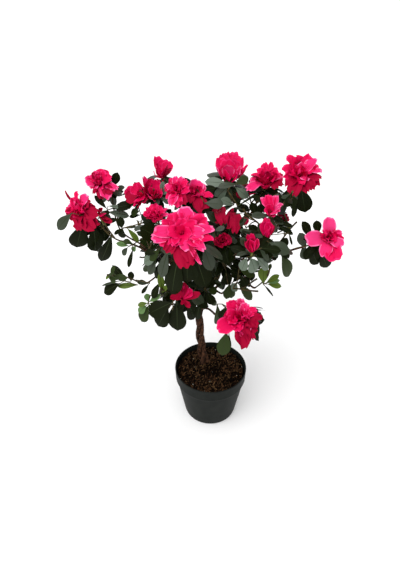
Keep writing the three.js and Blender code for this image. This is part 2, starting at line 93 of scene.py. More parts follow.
# Short side shoots that only the fine plant has
SHOOT = {"along": (0.25, 0.85), "open": 1.1, "rise": 0.3, "length": (12, 24), "radius": (0.9, 0.7)}
SHOOT |= {"slots": (1, 3, 4, 6, 7), "shrink": 0.85, "least": 3, "tip": 3}
# Leaves told one by one: a stalk's least length and radius, how far a tip may sway or a blade turn, how
# much a blade faces up, the least width that is kept in view, and where and how widely along the leaf it
# is kept
SEEN = {"stalk": 2, "radius": 0.8, "thin": 0.7, "sway": 14, "turn": 0.7, "face_up": 0.5, "longer": 1.05}
SEEN |= {"big": 14, "open_at": (0.35, 0.65), "half": 0.4, "light": ("pale_sheen", "fresh", "young")}
# How far a leaf keeps to its own tip or bloom and off the limbs, and how far past its spray's box it goes
SPACE = {"leaf_reach": 0.85, "bloom_margin": 2, "limb_gap": 1.0, "past_box": 3}
# A bloom keeps its bowl free, a cone before its face out to some radii, and the camera's view of its middle
FACE = {"before": 2.4, "cone": math.radians(52), "over": 0.5, "view": 0.75, "near": 0.3}


# Plain vector help

UP = np.array([0.0, 0.0, 1.0])
SIDEWAYS = np.array([1.0, 0.0, 0.0])


def unit(v):
    return v / np.linalg.norm(v)


def toward(start, end):
    return unit(end - start)


def mix(a, b, t):
    return a + (b - a) * t


def chance(*keys):
    """A repeatable number from 0 to 1 for a set of whole-number keys, which tell one draw from another."""
    h = 2166136261
    for key in keys:
        h = ((h ^ (key + 101)) * 16777619) & 0xFFFFFFFF
        h = ((h ^ (h >> 15)) * 2246822507) & 0xFFFFFFFF
        h = h ^ (h >> 13)
    return h / 4294967296


def square_to(direction):
    """Two directions square to a given one."""
    helper = UP if abs(direction[2]) < 0.9 else SIDEWAYS
    u = unit(np.cross(helper, direction))
    return u, np.cross(direction, u)


def ring_of(sides):
    """Angles evenly round a circle."""
    return 2 * math.pi * np.arange(sides) / sides


def ring_point(middle, square, radius, turn):
    return middle + square[0] * radius * math.cos(turn) + square[1] * radius * math.sin(turn)


def facing(bearing, lift):
    turn, rise = math.radians(bearing), math.radians(lift)
    level = math.cos(rise)
    return np.array([math.cos(turn) * level, math.sin(turn) * level, math.sin(rise)])


# The sprays


def bloom(at, width, opened, bearing, lift, form="loose", tone="bright", full=1.0, face=None, moved=None):
    """The middle of a bloom's face, its width, how far it has opened, where it faces, its form and colour.

    Full is how much larger its petals by rule are than the solid's. Its petals may face another way (face, a
    bearing and a lift) and stand a little aside (moved).
    """
    b = {"at": np.array(at, float), "width": width, "open": opened, "form": form, "tone": tone, "full": full}
    b |= {"axis": facing(bearing, lift), "moved": np.array(moved or (0, 0, 0), float)}
    return b | {"face": face or (bearing, lift)}


def spray(name, leafy, blooms=(), **fine):
    """One mass of the crown: its name, its blooms, and how many leafy tips it has beside them.

    Middle is where it lies if it has no bloom. Shown is the share of the solid leaves' length that the fine
    leaves have, and broad widens them. No leaf hangs before a front spray's blooms, as the camera sees it.
    The bough that shows ends along the way between two places in the frame, where the photograph shows it.
    """
    # A spray's green: sheen is painted sheen, a lighter green for leaves that catch the sky's reflection
    looks = {"middle": None, "leaf_size": 1.0, "green": "dark", "shown": 1.0, "broad": 1.0}
    looks |= {"shoots": 3, "front": True, "way": None}
    return {"name": name, "leafy": leafy, "blooms": blooms} | looks | fine


# A bloom's tone deep is painted shade, for blooms that hang in the crown's shade
SPRAYS = [
    spray("far_left", 3, [
        bloom((-176, 12, 378), 54, 1, -138, 48, "drooping", full=0.9, face=(-112, 36), moved=(-2, 0, 2)),
        bloom((-146, 0, 372), 16, 0.3, -60, 50, "bud", "deep", 1.5),
    ], leaf_size=1.15, shown=0.7, shoots=1, way=((147, 246), (121, 241))),
    spray("far_right", 2, [
        bloom((150, -30, 358), 54, 1, -65, 32, full=0.9, face=(-97, 44)),
    ], shown=0.7, shoots=1, way=((283, 252), (303, 247))),
    spray("back_middle", 2, [
        bloom((-18, 138, 372), 52, 1, 92, 42, full=0.85, moved=(0, 0, -14)),
    ], front=False),
    spray("front_top", 4, [
        bloom((-38, -104, 406), 68, 1, -110, 30, "drooping", "pale", 0.36, (-98, 40), (2, 0, 0)),
    ], leaf_size=1.3, broad=1.3, shown=0.9),
    spray("left_back", 2, [
        bloom((-159, 70, 394), 50, 1, -113, 36, "loose", "pale", 1.08, (-100, 50)),
    ], green="sheen", shown=0.7, way=((137, 245), (123, 233))),
    spray("upper_left", 1, [
        bloom((-110, 42, 398), 33, 0.75, -165, 25, "cup", full=0.8, face=(-128, 34)),
        bloom((-82, 40, 405), 36, 0.8, -80, 62, "cup", moved=(0, 0, -3)),
        bloom((-70, 60, 429), 30, 0.45, -110, 84, "cup", full=1.1, moved=(1, 0, -6)),
    ], green="sheen", shown=0.75),
    spray("left_inner", 2, [
        bloom((-74, -16, 389), 38, 0.9, -90, 68, full=1.3, face=(-90, 76), moved=(3, 0, -4)),
    ], green="sheen", shown=0.75),
    spray("top_middle", 1, [
        bloom((-48, 4, 413), 44, 1, -130, 50, "loose", "pale", 1.15, (-110, 50), (-2, 0, -2)),
        bloom((-20, 8, 416), 46, 1, -78, 42, full=0.98, moved=(-2, 0, -8)),
    ], green="sheen"),
    spray("top_back", 2, [
        bloom((22, 62, 426), 52, 0.85, -80, 76, "goblet", "pale", 0.5),
    ], green="sheen", broad=1.2),
    spray("right_top", 2, [bloom((73, 36, 417), 56, 1, -75, 68, "crown", full=1.04, face=(-84, 72))]),
    spray("far_right_top", 2, [
        bloom((110, -13, 441), 56, 1, -65, 45, "drooping", full=1.1, face=(-104, 50), moved=(0, 0, 3)),
    ], shown=0.8),
    spray("right_front", 2, [
        bloom((71, -30, 407), 33, 0.5, -110, 70, "loose", "pale", face=(-110, 66)),
        bloom((64, -62, 392), 21, 0.1, -60, 82, "bud", full=1.32),
        bloom((43, -84, 383), 22, 0.3, -120, 80, "bud", "pale", 1.2),
    ], green="sheen", broad=1.1, shown=0.85),
    spray("inner_right", 2, [
        bloom((9, 28, 362), 30, 0.5, -150, 66, "loose", "deep", 0.5),
        bloom((30, 14, 358), 30, 0.5, -40, 66, "loose", "deep", 0.5),
        bloom((12, -36, 361), 29, 0.8, -85, 40, "rosette", "deep", 0.97),
    ]),
    spray("front_low_right", 2, [
        bloom((34, -102, 281), 60, 1, -82, 40, "drooping", "pale", 1.06, (-88, 50), (0, 0, -5)),
    ]),
    spray("front_low", 4, [
        bloom((-36, -58, 294), 38, 0.9, -85, 15, "cup", "deep", 0.3, (-95, 52), (0, -16, 0)),
    ], leaf_size=1.25, shown=0.8),
    spray("front_low_left", 3, middle=(-70, -44, 284), leaf_size=1.1, broad=1.2, shown=0.6),
    spray("left_low", 3, middle=(-138, -16, 310), green="olive", shown=0.5, shoots=1),
    spray("left_middle", 3, middle=(-116, -6, 338), green="olive", shown=0.5, shoots=1),
    spray("middle_low", 4, middle=(34, -30, 306), shown=0.7, broad=1.2),
    spray("middle_left", 2, middle=(-44, -30, 338)),
    spray("middle_right", 4, middle=(80, 6, 352), green="sheen", shown=0.8, broad=1.1),
    spray("right_low", 3, middle=(94, -26, 308), green="olive", shown=0.6),
    spray("back_left", 2, [
        bloom((-112, 118, 366), 50, 1, 140, 40, full=0.85, moved=(0, 0, -10)),
        bloom((-72, 104, 402), 34, 0.7, 110, 66, full=0.8, moved=(-4, 6, -16)),
    ], front=False),
    spray("back_right", 2, [
        bloom((60, 126, 382), 52, 1, 62, 45, full=0.85, moved=(0, 0, -16)),
        bloom((98, 92, 398), 22, 0.2, 40, 76, "bud", full=1.2, moved=(0, 0, -8)),
    ], front=False),
    spray("back_low", 3, [bloom((14, 104, 292), 44, 1, 80, 20)], front=False),
    spray("back_low_left", 3, [bloom((-92, 84, 300), 30, 0.7, 150, 30)], green="olive", front=False),
    spray("right_back", 2, [
        bloom((136, 64, 344), 50, 1, 20, 38, "cup", "deep", 0.6, moved=(-26, 6, 2)),
    ], front=False),
]

# The camera's place and turn, its lens and sensor, and how many metres it sees
CAMERA = {"at": (-18, -573.4, 665.5), "tilt": 55, "lens": 29.68, "sensor": 36, "sees_to": 100}

# The photograph's frame, in which a leaf's root and tip and the gaps are told
VIEW = {"middle": (200, 285), "long_side": 570}

# Whorls told leaf by leaf: the spray, the whorl's place in the frame, how far back it lies in
# millimetres, and for each leaf the places of its root and tip, its width and its green. Places and
# widths are in the frame's pixels
# The sheen green and the pale grey-green are painted sheen, for leaves that show the sky's reflection
WHORLS_SEEN = [
    ("far_left", (80, 215), 8, [(72, 213, 56, 229, 10, "sheen")]),
    ("far_left", (93, 221), 6, [(82, 222, 77, 250, 18, "dark"), (93, 225, 97, 252, 17, "dark")]),
    ("far_left", (106, 230), 24, [(112, 234, 101, 264, 13, "dark"), (101, 221, 106, 241, 12, "dark")]),
    ("left_back", (111, 189), 84, [
        (113, 187, 117, 174, 8, "dark"), (112, 190, 124, 187, 5, "sheen"), (108, 198, 122, 191, 5, "dark"),
    ]),
    ("left_back", (107, 210), 46, [
        (107, 209, 95, 196, 6, "dark"), (111, 209, 131, 204, 10, "dark"), (108, 206, 122, 207, 4, "pale_sheen"),
        (107, 212, 129, 215, 9, "pale_sheen"),
    ]),
    ("upper_left", (138, 206), 50, [
        (137, 207, 131, 200, 6, "olive"), (140, 211, 131, 213, 8, "olive"), (141, 215, 129, 216, 5, "dark"),
    ]),
    ("upper_left", (160, 196), 40, [
        (160, 196, 168, 188, 6, "pale_sheen"), (160, 197, 170, 203, 6, "pale_sheen"), (158, 198, 150, 205, 5, "dark"),
        (160, 197, 145, 202, 4, "dark"), (162, 194, 163, 182, 6, "pale_sheen"),
    ]),
    ("left_inner", (123, 228), 0, [
        (123, 228, 121, 239, 8, "dark"), (124, 228, 113, 234, 4, "dark"), (122, 229, 120, 218, 8, "dark"),
        (123, 228, 136, 226, 3, "sheen"), (127, 228, 139, 241, 6, "fresh"),
    ]),
    ("left_inner", (150, 224), -8, [
        (141, 223, 153, 220, 6, "dark"), (147, 225, 134, 229, 5, "sheen"), (144, 237, 138, 232, 5, "sheen"),
    ]),
    ("left_middle", (132, 245), -4, [
        (129, 246, 117, 243, 6, "young"), (133, 244, 124, 240, 6, "olive"), (128, 247, 122, 255, 6, "sheen"),
        (133, 249, 128, 267, 5, "dark"), (136, 246, 132, 251, 5, "young"),
    ]),
    ("left_low", (124, 281), -10, [
        (126, 281, 113, 266, 6, "dark"), (120, 280, 109, 274, 8, "olive"), (131, 282, 131, 272, 7, "dark"),
        (121, 283, 103, 292, 12, "dark"), (119, 281, 101, 285, 2, "sheen"), (138, 285, 118, 286, 6, "fresh"),
    ]),
    ("left_low", (150, 283), -14, [(149, 284, 137, 281, 5, "sheen"), (149, 284, 141, 294, 4, "dark")]),
    ("front_top", (172, 240), -66, [(162, 240, 142, 228, 17, "dark"), (168, 250, 160, 278, 12, "sheen")]),
    ("front_top", (188, 250), -66, [
        (179, 254, 170, 295, 22, "dark"), (187, 254, 187, 284, 21, "dark"), (195, 254, 206, 287, 20, "dark"),
        (203, 246, 212, 270, 12, "sheen"),
    ]),
    ("middle_left", (157, 250), -34, [
        (158, 252, 145, 252, 7, "dark"), (160, 248, 150, 261, 7, "olive"), (158, 256, 143, 262, 10, "pale_sheen"),
        (157, 258, 148, 274, 9, "sheen"), (162, 260, 154, 279, 8, "dark"),
    ]),
    ("middle_left", (160, 282), -36, [
        (163, 293, 160, 275, 7, "fresh"), (160, 282, 152, 298, 7, "dark"), (161, 293, 167, 286, 5, "fresh"),
    ]),
    ("front_low_left", (173, 301), -46, [(177, 299, 177, 331, 21, "dark"), (169, 306, 157, 327, 19, "dark")]),
    ("front_low_left", (173, 300), -62, [(173, 302, 149, 313, 17, "dark")]),
    ("front_low_left", (148, 303), -36, [
        (148, 302, 147, 294, 7, "young"), (149, 302, 159, 295, 6, "young"), (148, 303, 138, 305, 5, "fresh"),
        (149, 305, 140, 322, 11, "olive"), (147, 305, 138, 313, 7, "young"), (149, 303, 157, 306, 5, "fresh"),
        (149, 304, 153, 312, 6, "olive"),
    ]),
    ("front_low", (188, 301), -44, [
        (187, 300, 196, 321, 13, "dark"), (201, 301, 196, 320, 8, "dark"), (190, 300, 208, 306, 8, "dark"),
        (186, 301, 178, 309, 8, "dark"),
    ]),
    ("front_low", (205, 290), -34, [
        (206, 289, 214, 279, 8, "dark"), (207, 290, 217, 291, 8, "olive"), (207, 291, 213, 305, 9, "dark"),
        (205, 291, 203, 307, 8, "dark"), (204, 290, 199, 279, 8, "dark"), (209, 295, 216, 306, 7, "olive"),
    ]),
    ("front_low_right", (228, 326), -84, [
        (227, 331, 222, 355, 14, "olive"), (229, 334, 229, 349, 5, "dark"),
    ]),
    ("front_low_right", (222, 304), -74, [(226, 306, 221, 320, 8, "dark"), (217, 304, 219, 327, 7, "olive")]),
    ("middle_low", (237, 282), -26, [
        (237, 282, 232, 291, 9, "pale_sheen"), (238, 283, 253, 300, 8, "olive"), (240, 275, 247, 287, 10, "dark"),
        (239, 269, 254, 276, 8, "olive"),
    ]),
    ("middle_low", (228, 284), -24, [
        (229, 284, 226, 299, 9, "olive"), (229, 284, 232, 299, 9, "olive"), (226, 273, 221, 290, 7, "dark"),
    ]),
    ("middle_low", (231, 283), -10, [
        (228, 284, 225, 267, 9, "dark"), (232, 283, 243, 271, 8, "dark"), (236, 284, 251, 277, 7, "dark"),
    ]),
    ("middle_low", (223, 264), -20, [
        (222, 263, 216, 250, 9, "dark"), (224, 263, 232, 251, 8, "dark"), (224, 265, 211, 268, 7, "olive"),
        (228, 266, 241, 270, 9, "dark"), (229, 268, 239, 278, 8, "dark"), (222, 270, 212, 280, 9, "sheen"),
        (226, 270, 227, 285, 10, "dark"), (231, 262, 242, 262, 7, "dark"), (214, 231, 224, 227, 6, "sheen"),
    ]),
    ("right_low", (263, 284), -40, [
        (263, 284, 264, 268, 12, "fresh"), (266, 283, 278, 275, 6, "fresh"), (267, 284, 281, 286, 6, "fresh"),
        (267, 283, 279, 280, 5, "young"), (264, 285, 274, 296, 2, "dark"),
    ]),
    ("right_front", (252, 256), -80, [
        (250, 254, 231, 247, 8, "dark"), (247, 257, 241, 271, 9, "pale_sheen"),
        (250, 257, 256, 272, 13, "pale_sheen"), (256, 257, 269, 269, 10, "pale_sheen"),
        (255, 254, 272, 255, 8, "dark"), (249, 248, 242, 239, 7, "sheen"),
    ]),
    ("right_front", (265, 243), -50, [
        (265, 245, 273, 256, 9, "dark"), (265, 246, 258, 256, 9, "dark"), (263, 243, 257, 240, 6, "dark"),
    ]),
    ("right_front", (279, 224), -24, [
        (266, 213, 284, 221, 6, "dark"), (277, 222, 293, 226, 5, "dark"), (277, 225, 293, 234, 5, "dark"),
        (276, 229, 292, 230, 5, "dark"), (275, 226, 289, 222, 4, "dark"),
    ]),
    ("right_front", (262, 236), -40, [(262, 237, 250, 226, 9, "dark"), (289, 233, 292, 245, 2, "dark")]),
    ("right_front", (246, 228), -20, [
        (246, 226, 246, 218, 6, "petals_bright"), (245, 226, 243, 220, 4, "petals_painted_shade"),
    ]),
    ("middle_right", (281, 250), -10, [
        (281, 250, 286, 239, 8, "dark"), (281, 249, 289, 258, 7, "dark"), (280, 249, 268, 243, 9, "dark"),
        (279, 251, 271, 260, 8, "dark"), (281, 254, 292, 277, 15, "olive"), (287, 251, 305, 246, 2, "fresh"),
    ]),
    ("middle_right", (256, 214), 16, [
        (256, 215, 252, 203, 8, "dark"), (258, 216, 263, 204, 8, "dark"), (255, 217, 244, 214, 5, "dark"),
    ]),
    ("right_top", (262, 189), 42, [
        (262, 189, 248, 190, 7, "dark"), (262, 190, 256, 203, 8, "sheen"), (263, 189, 278, 192, 7, "dark"),
    ]),
    ("right_top", (278, 193), 20, [(279, 192, 285, 216, 10, "dark")]),
    ("far_right_top", (294, 188), 6, [
        (290, 187, 293, 206, 11, "dark"), (301, 186, 305, 212, 15, "dark"), (296, 196, 294, 218, 6, "dark"),
        (288, 188, 286, 200, 9, "dark"),
    ]),
    ("far_right", (311, 246), -8, [
        (312, 239, 305, 223, 9, "dark"), (318, 235, 317, 221, 9, "dark"), (306, 249, 300, 234, 9, "sheen"),
        (302, 246, 307, 259, 11, "sheen"), (309, 247, 319, 265, 13, "dark"), (321, 252, 328, 269, 12, "dark"),
    ]),
    ("top_back", (231, 184), 44, [
        (228, 184, 206, 181, 10, "pale_sheen"), (229, 185, 215, 199, 12, "pale_sheen"),
        (231, 187, 227, 202, 10, "sheen"), (235, 184, 248, 178, 9, "olive"),
        (235, 187, 248, 197, 9, "pale_sheen"), (238, 184, 218, 186, 6, "sheen"),
    ]),
    ("top_back", (234, 205), 34, [
        (234, 205, 222, 199, 8, "pale_sheen"), (234, 205, 220, 210, 5, "sheen"), (235, 200, 244, 212, 7, "dark"),
    ]),
    ("top_back", (231, 191), 52, [
        (231, 190, 241, 203, 7, "dark"), (238, 204, 250, 210, 7, "dark"), (249, 204, 260, 215, 9, "olive"),
    ]),
    ("top_back", (238, 206), 30, [(238, 206, 262, 190, 2, "dark")]),
    ("top_back", (241, 199), 50, [
        (241, 199, 237, 193, 4, "petals_painted_shade"), (241, 199, 241, 194, 4, "petals_painted_shade"),
    ]),
    ("top_middle", (204, 203), -4, [(204, 203, 223, 204, 11, "sheen"), (204, 210, 218, 221, 10, "sheen")]),
]

# Blooms told petal by petal: the spray, in the order of its blooms, the place of the foot in the frame,
# how many millimetres the petals' tips stand over it along the bloom's axis, and for each petal the place
# of its tip, its width and its tone
# A petal's tone deep is painted shade; pale is partly the petal's paler colour and partly painted highlight
PETALS_SEEN = [
    ("far_left", (83, 212), 15, [
        (65, 190, 2, "deep"), (73, 197, 8, "bright"), (77, 190, 5, "bright"), (87, 194, 10, "pale"),
        (91, 201, 9, "deep"), (95, 207, 9, "deep"), (99, 215, 11, "deep"), (99, 224, 9, "deep"),
        (94, 230, 12, "deep"), (86, 230, 9, "deep"), (79, 231, 10, "deep"), (72, 221, 10, "deep"),
        (66, 214, 9, "deep"), (65, 209, 8, "bright"), (69, 203, 8, "pale"),
    ]),
    ("far_left", (99, 213), 12, [(110, 222, 7, "deep"), (104, 214, 6, "bright"), (107, 219, 5, "deep")]),
    ("left_back", (101, 184), 14, [
        (94, 194, 4, "deep"), (91, 189, 9, "pale"), (85, 182, 10, "pale"), (89, 175, 8, "pale"),
        (94, 171, 7, "pale"), (102, 169, 13, "bright"), (109, 172, 10, "bright"), (112, 178, 9, "bright"),
        (118, 190, 7, "pale"), (113, 194, 7, "deep"), (109, 200, 9, "pale"), (103, 199, 8, "deep"),
    ]),
    ("upper_left", (143, 194), 12, [
        (139, 184, 12, "bright"), (132, 186, 12, "bright"), (124, 192, 13, "bright"), (126, 198, 12, "deep"),
        (137, 201, 11, "bright"), (133, 206, 4, "bright"), (137, 207, 3, "deep"), (146, 188, 10, "bright"),
        (146, 197, 9, "deep"),
    ]),
    ("upper_left", (154, 198), 20, [
        (144, 177, 7, "pale"), (149, 179, 10, "bright"), (155, 180, 10, "bright"), (159, 182, 10, "bright"),
        (161, 190, 10, "bright"), (145, 188, 12, "deep"), (150, 194, 11, "bright"), (157, 194, 10, "bright"),
    ]),
    ("upper_left", (163, 178), 19, [
        (157, 156, 10, "bright"), (163, 159, 11, "bright"), (168, 161, 10, "bright"), (154, 171, 5, "pale"),
        (157, 164, 14, "bright"), (165, 166, 13, "bright"), (168, 168, 9, "deep"),
    ]),
    ("left_inner", (155, 221), 14, [
        (147, 207, 9, "bright"), (153, 205, 9, "bright"), (159, 205, 9, "bright"), (163, 208, 8, "bright"),
        (168, 209, 6, "pale"), (169, 215, 5, "pale"), (143, 213, 9, "bright"), (149, 213, 10, "bright"),
        (158, 213, 10, "bright"), (147, 219, 7, "deep"), (162, 219, 7, "deep"),
    ]),
    ("top_middle", (179, 193), 16, [
        (171, 178, 8, "bright"), (175, 176, 6, "pale"), (183, 177, 7, "pale"), (188, 181, 8, "bright"),
        (165, 185, 7, "pale"), (170, 189, 8, "bright"), (167, 199, 9, "bright"), (171, 206, 8, "pale"),
        (178, 208, 9, "bright"), (185, 204, 8, "deep"), (190, 190, 8, "bright"),
    ]),
    ("top_middle", (194, 194), 15, [
        (188, 184, 8, "bright"), (198, 179, 13, "pale"), (205, 185, 8, "pale"), (203, 193, 8, "bright"),
        (213, 197, 6, "bright"), (204, 213, 13, "deep"), (199, 210, 9, "deep"), (188, 202, 7, "deep"),
    ]),
    ("top_back", (228, 182), 22, [
        (218, 166, 9, "pale"), (223, 165, 10, "bright"), (229, 166, 11, "pale"), (235, 166, 11, "bright"),
        (241, 167, 10, "pale"), (221, 170, 11, "bright"), (228, 171, 12, "bright"), (236, 171, 12, "bright"),
        (220, 157, 10, "bright"), (224, 153, 10, "bright"), (228, 151, 9, "bright"), (235, 151, 10, "bright"),
        (240, 156, 11, "bright"), (247, 164, 7, "bright"), (243, 168, 7, "bright"), (228, 159, 13, "bright"),
        (235, 159, 12, "bright"),
    ]),
    ("right_top", (266, 187), 18, [
        (247, 189, 8, "pale"), (250, 181, 9, "pale"), (250, 175, 8, "bright"), (258, 168, 7, "bright"),
        (264, 164, 7, "bright"), (268, 167, 8, "bright"), (272, 162, 5, "bright"), (276, 167, 7, "bright"),
        (279, 172, 8, "bright"), (284, 178, 7, "pale"), (283, 185, 6, "deep"), (277, 189, 8, "deep"),
        (266, 188, 9, "deep"), (256, 184, 10, "bright"), (262, 178, 9, "bright"), (272, 179, 9, "bright"),
    ]),
    ("far_right_top", (300, 177), 17, [
        (287, 156, 8, "bright"), (298, 165, 9, "bright"), (305, 162, 10, "pale"), (311, 155, 9, "bright"),
        (317, 159, 9, "pale"), (319, 167, 9, "bright"), (323, 172, 4, "pale"), (321, 179, 9, "deep"),
        (319, 185, 8, "deep"), (314, 189, 9, "deep"), (307, 194, 8, "deep"), (310, 180, 12, "pale"),
        (302, 186, 8, "deep"), (292, 196, 12, "deep"), (287, 187, 10, "deep"), (284, 178, 9, "bright"),
        (282, 168, 9, "bright"), (294, 167, 9, "bright"),
    ]),
    ("right_front", (271, 216), 19, [
        (262, 197, 7, "pale"), (267, 195, 8, "bright"), (273, 196, 8, "bright"), (277, 196, 7, "rosy"),
        (283, 205, 10, "rosy"), (279, 211, 9, "pale"), (266, 206, 9, "bright"), (272, 206, 10, "bright"),
    ]),
    ("right_front", (267, 239), 20, [
        (266, 218, 5, "bright"), (269, 219, 4, "bright"), (263, 222, 7, "bright"), (271, 223, 8, "deep"),
        (266, 222, 9, "bright"), (270, 223, 8, "bright"),
    ]),
    ("right_front", (252, 252), 18, [
        (248, 235, 6, "bright"), (252, 234, 6, "bright"), (258, 239, 7, "pale"), (246, 241, 7, "bright"),
        (250, 238, 9, "bright"), (255, 240, 10, "bright"),
    ]),
    ("inner_right", (220, 208), 6, [
        (214, 217, 8, "deep"), (218, 223, 9, "deep"), (224, 226, 9, "deep"), (222, 215, 9, "deep"),
    ]),
    ("inner_right", (231, 212), 8, [
        (228, 229, 10, "deep"), (234, 234, 10, "deep"), (238, 226, 8, "deep"), (232, 224, 10, "deep"),
    ]),
    ("front_top", (183, 234), 18, [
        (188, 207, 15, "pale"), (178, 211, 10, "bright"), (170, 214, 12, "bright"), (162, 221, 10, "bright"),
        (153, 232, 11, "pale"), (152, 239, 11, "pale"), (160, 246, 9, "bright"), (165, 252, 9, "deep"),
        (170, 253, 6, "deep"), (187, 267, 19, "deep"), (192, 262, 13, "deep"), (201, 265, 4, "pale"),
        (205, 250, 9, "pale"), (213, 240, 10, "bright"), (214, 229, 10, "pale"), (207, 219, 15, "bright"),
        (198, 214, 10, "bright"), (170, 246, 9, "bright"), (170, 222, 14, "bright"), (184, 218, 14, "bright"),
        (198, 224, 13, "bright"), (205, 234, 12, "pale"), (166, 232, 12, "bright"), (176, 246, 12, "bright"),
        (190, 251, 13, "pale"), (200, 246, 10, "bright"), (178, 227, 11, "bright"), (192, 234, 11, "bright"),
        (184, 242, 10, "bright"),
    ]),
    ("front_low", (182, 299), 8, [
        (184, 283, 7, "deep"), (187, 286, 7, "bright"), (192, 290, 8, "bright"), (199, 293, 6, "deep"),
        (178, 291, 6, "deep"), (190, 306, 5, "deep"), (183, 304, 4, "deep"), (171, 296, 5, "deep"),
    ]),
    ("front_low_right", (239, 319), 16, [
        (228, 301, 10, "bright"), (236, 299, 8, "pale"), (241, 298, 8, "pale"), (247, 303, 9, "pale"),
        (251, 310, 8, "bright"), (257, 309, 8, "bright"), (263, 317, 7, "deep"), (258, 327, 9, "deep"),
        (257, 332, 6, "deep"), (254, 339, 6, "deep"), (243, 349, 13, "deep"), (250, 342, 7, "deep"),
        (245, 336, 13, "pale"), (236, 332, 10, "bright"), (217, 331, 14, "bright"), (226, 312, 9, "bright"),
        (227, 322, 9, "bright"),
    ]),
    ("far_right", (328, 239), 14, [
        (329, 217, 12, "rosy"), (305, 240, 13, "rosy"), (324, 257, 11, "pale"), (334, 262, 14, "bright"),
        (341, 256, 8, "bright"), (343, 247, 10, "rosy"), (342, 232, 7, "pale"),
    ]),
]

# Where the photograph shows sky between and beside the sprays: a place in the frame and a radius
SKY = [
    (132, 221, 4), (116, 257, 8), (137, 259, 7), (143, 276, 4), (128, 300, 12), (64, 245, 9), (74, 262, 10),
    (90, 266, 9), (98, 300, 22), (112, 250, 4), (100, 276, 6), (84, 280, 14), (120, 316, 16), (122, 164, 14),
    (141, 165, 10), (186, 158, 14), (176, 172, 3), (206, 162, 9), (257, 156, 10), (334, 204, 16),
    (322, 212, 9), (298, 226, 6), (303, 216, 5), (312, 216, 6), (308, 276, 14), (297, 262, 6), (300, 298, 24),
    (274, 300, 12), (276, 264, 4), (262, 296, 8), (257, 280, 3), (212, 330, 9), (208, 318, 6), (190, 334, 12),
    (166, 342, 14), (140, 336, 14), (244, 290, 3), (60, 190, 14), (80, 184, 8), (146, 286, 3), (152, 270, 3),
    (290, 241, 5), (120, 198, 2), (290, 222, 4), (303, 227, 5), (296, 236, 4), (88, 257, 5), (276, 270, 3),
    (240, 290, 2), (155, 170, 1), (275, 237, 4), (284, 236, 3), (290, 211, 3), (255, 293, 4), (262, 335, 3),
    (128, 180, 6), (134, 176, 5), (145, 203, 3), (150, 203, 2), (249, 195, 3), (248, 202, 4), (246, 212, 3),
    (251, 220, 3), (256, 225, 2), (255, 207, 1), (208, 330, 8), (322, 196, 6), (81, 251, 3), (112, 230, 4),
    (103, 206, 3), (235, 338, 3), (148, 324, 4), (278, 262, 3), (256, 287, 3), (249, 289, 2), (162, 183, 3),
    (220, 292, 3), (220, 298, 3),
]

# The floor in metres from its middle to its edge, and its shade
FLOOR = {"half": 40, "shade": 0.93, "roughness": 0.9}
# The sky's and the key light's strength, the key's softness and the way it is turned, in degrees
LIGHT = {"sky": 0.85, "key": 2.0, "softness": 60, "turn": (28, -22, 0)}

# The camera's frame: where a place in it lies, and where a point shows in it

EYE = np.array(CAMERA["at"])
TILT = math.radians(CAMERA["tilt"])
AHEAD = np.array([0, math.sin(TILT), -math.cos(TILT)])
OVERHEAD = np.array([0, math.cos(TILT), math.sin(TILT)])
FOCAL = VIEW["long_side"] * CAMERA["lens"] / CAMERA["sensor"]


def ray_through(u, v):
    """The way from the camera through a place in its frame."""
    return AHEAD + SIDEWAYS * (u - VIEW["middle"][0]) / FOCAL + OVERHEAD * (VIEW["middle"][1] - v) / FOCAL


def seen_at(u, v, depth):
    """The point that the camera sees at a place in its frame, at a distance back from the plant's middle."""
    ray = ray_through(u, v)
    return EYE + ray * (depth - EYE[1]) / ray[1]


def seen_on(u, v, point, square_way):
    """The point seen at a place in the frame, on the plane through a point that is square to a way."""
    ray = ray_through(u, v)
    return EYE + ray * ((point - EYE) @ square_way) / (ray @ square_way)


def in_frame(points):
    """Where points show in the camera's frame."""
    rel = points - EYE
    far = rel @ AHEAD
    u, v = VIEW["middle"]
    return u + FOCAL * (rel @ SIDEWAYS) / far, v - FOCAL * (rel @ OVERHEAD) / far


def told_of(table, name):
    """What a table tells of one spray, row by row."""
    return [row[1:] for row in table if row[0] == name]


# Limbs: the solids' own course, in short straight lines, and the smooth one that shows


def bent_curve(start, onward, end, arrival, grip):
    """A curve that leaves its start along one direction and arrives at its end along another."""
    reach = grip * np.linalg.norm(end - start)
    hold = [start, start + onward * reach, end - arrival * reach, end]

    def at(t):
        s = 1 - t
        return hold[0] * s**3 + hold[1] * 3 * s * s * t + hold[2] * 3 * s * t * t + hold[3] * t**3

    return at


def heading_of(curve, t, step=0.0001):
    return toward(curve(max(t - step, 0)), curve(min(t + step, 1)))


class Limb:
    """A limb's course in the solids (points, radii, reach, end, heading), and the smooth one that shows."""

    def __init__(self, name, course, shown, radius_at, steps, before=0.0):
        self.name, self.shown, self.radius_at = name, shown, radius_at
        knots = [course(i / steps) for i in range(steps + 1)]
        widths = [radius_at(i / steps) for i in range(steps + 1)]
        self.points, self.radii, self.reach = [], [], [before]
        for i in range(SAMPLES + 1):
            place = i * steps / SAMPLES
            k = min(int(place), steps - 1)
            self.points.append(mix(knots[k], knots[k + 1], place - k))
            self.radii.append(mix(widths[k], widths[k + 1], place - k))
            if i:
                self.reach.append(self.reach[-1] + np.linalg.norm(self.points[i] - self.points[i - 1]))
        self.end = self.points[-1]
        self.heading = heading_of(course, 1)


# Trunk: the twisted stems

FORK = np.array(TRUNK["fork"], float)
FOOT = np.array([*TRUNK["foot"], SOIL["top"] + CLEAR])


def stem_radius(t):
    """A stem thins upward, and flares at its foot."""
    flare = (STEM["foot"] - STEM["waist"]) * math.exp(-STEM["flare_fade"] * t)
    return mix(STEM["waist"], STEM["top"], t) + flare


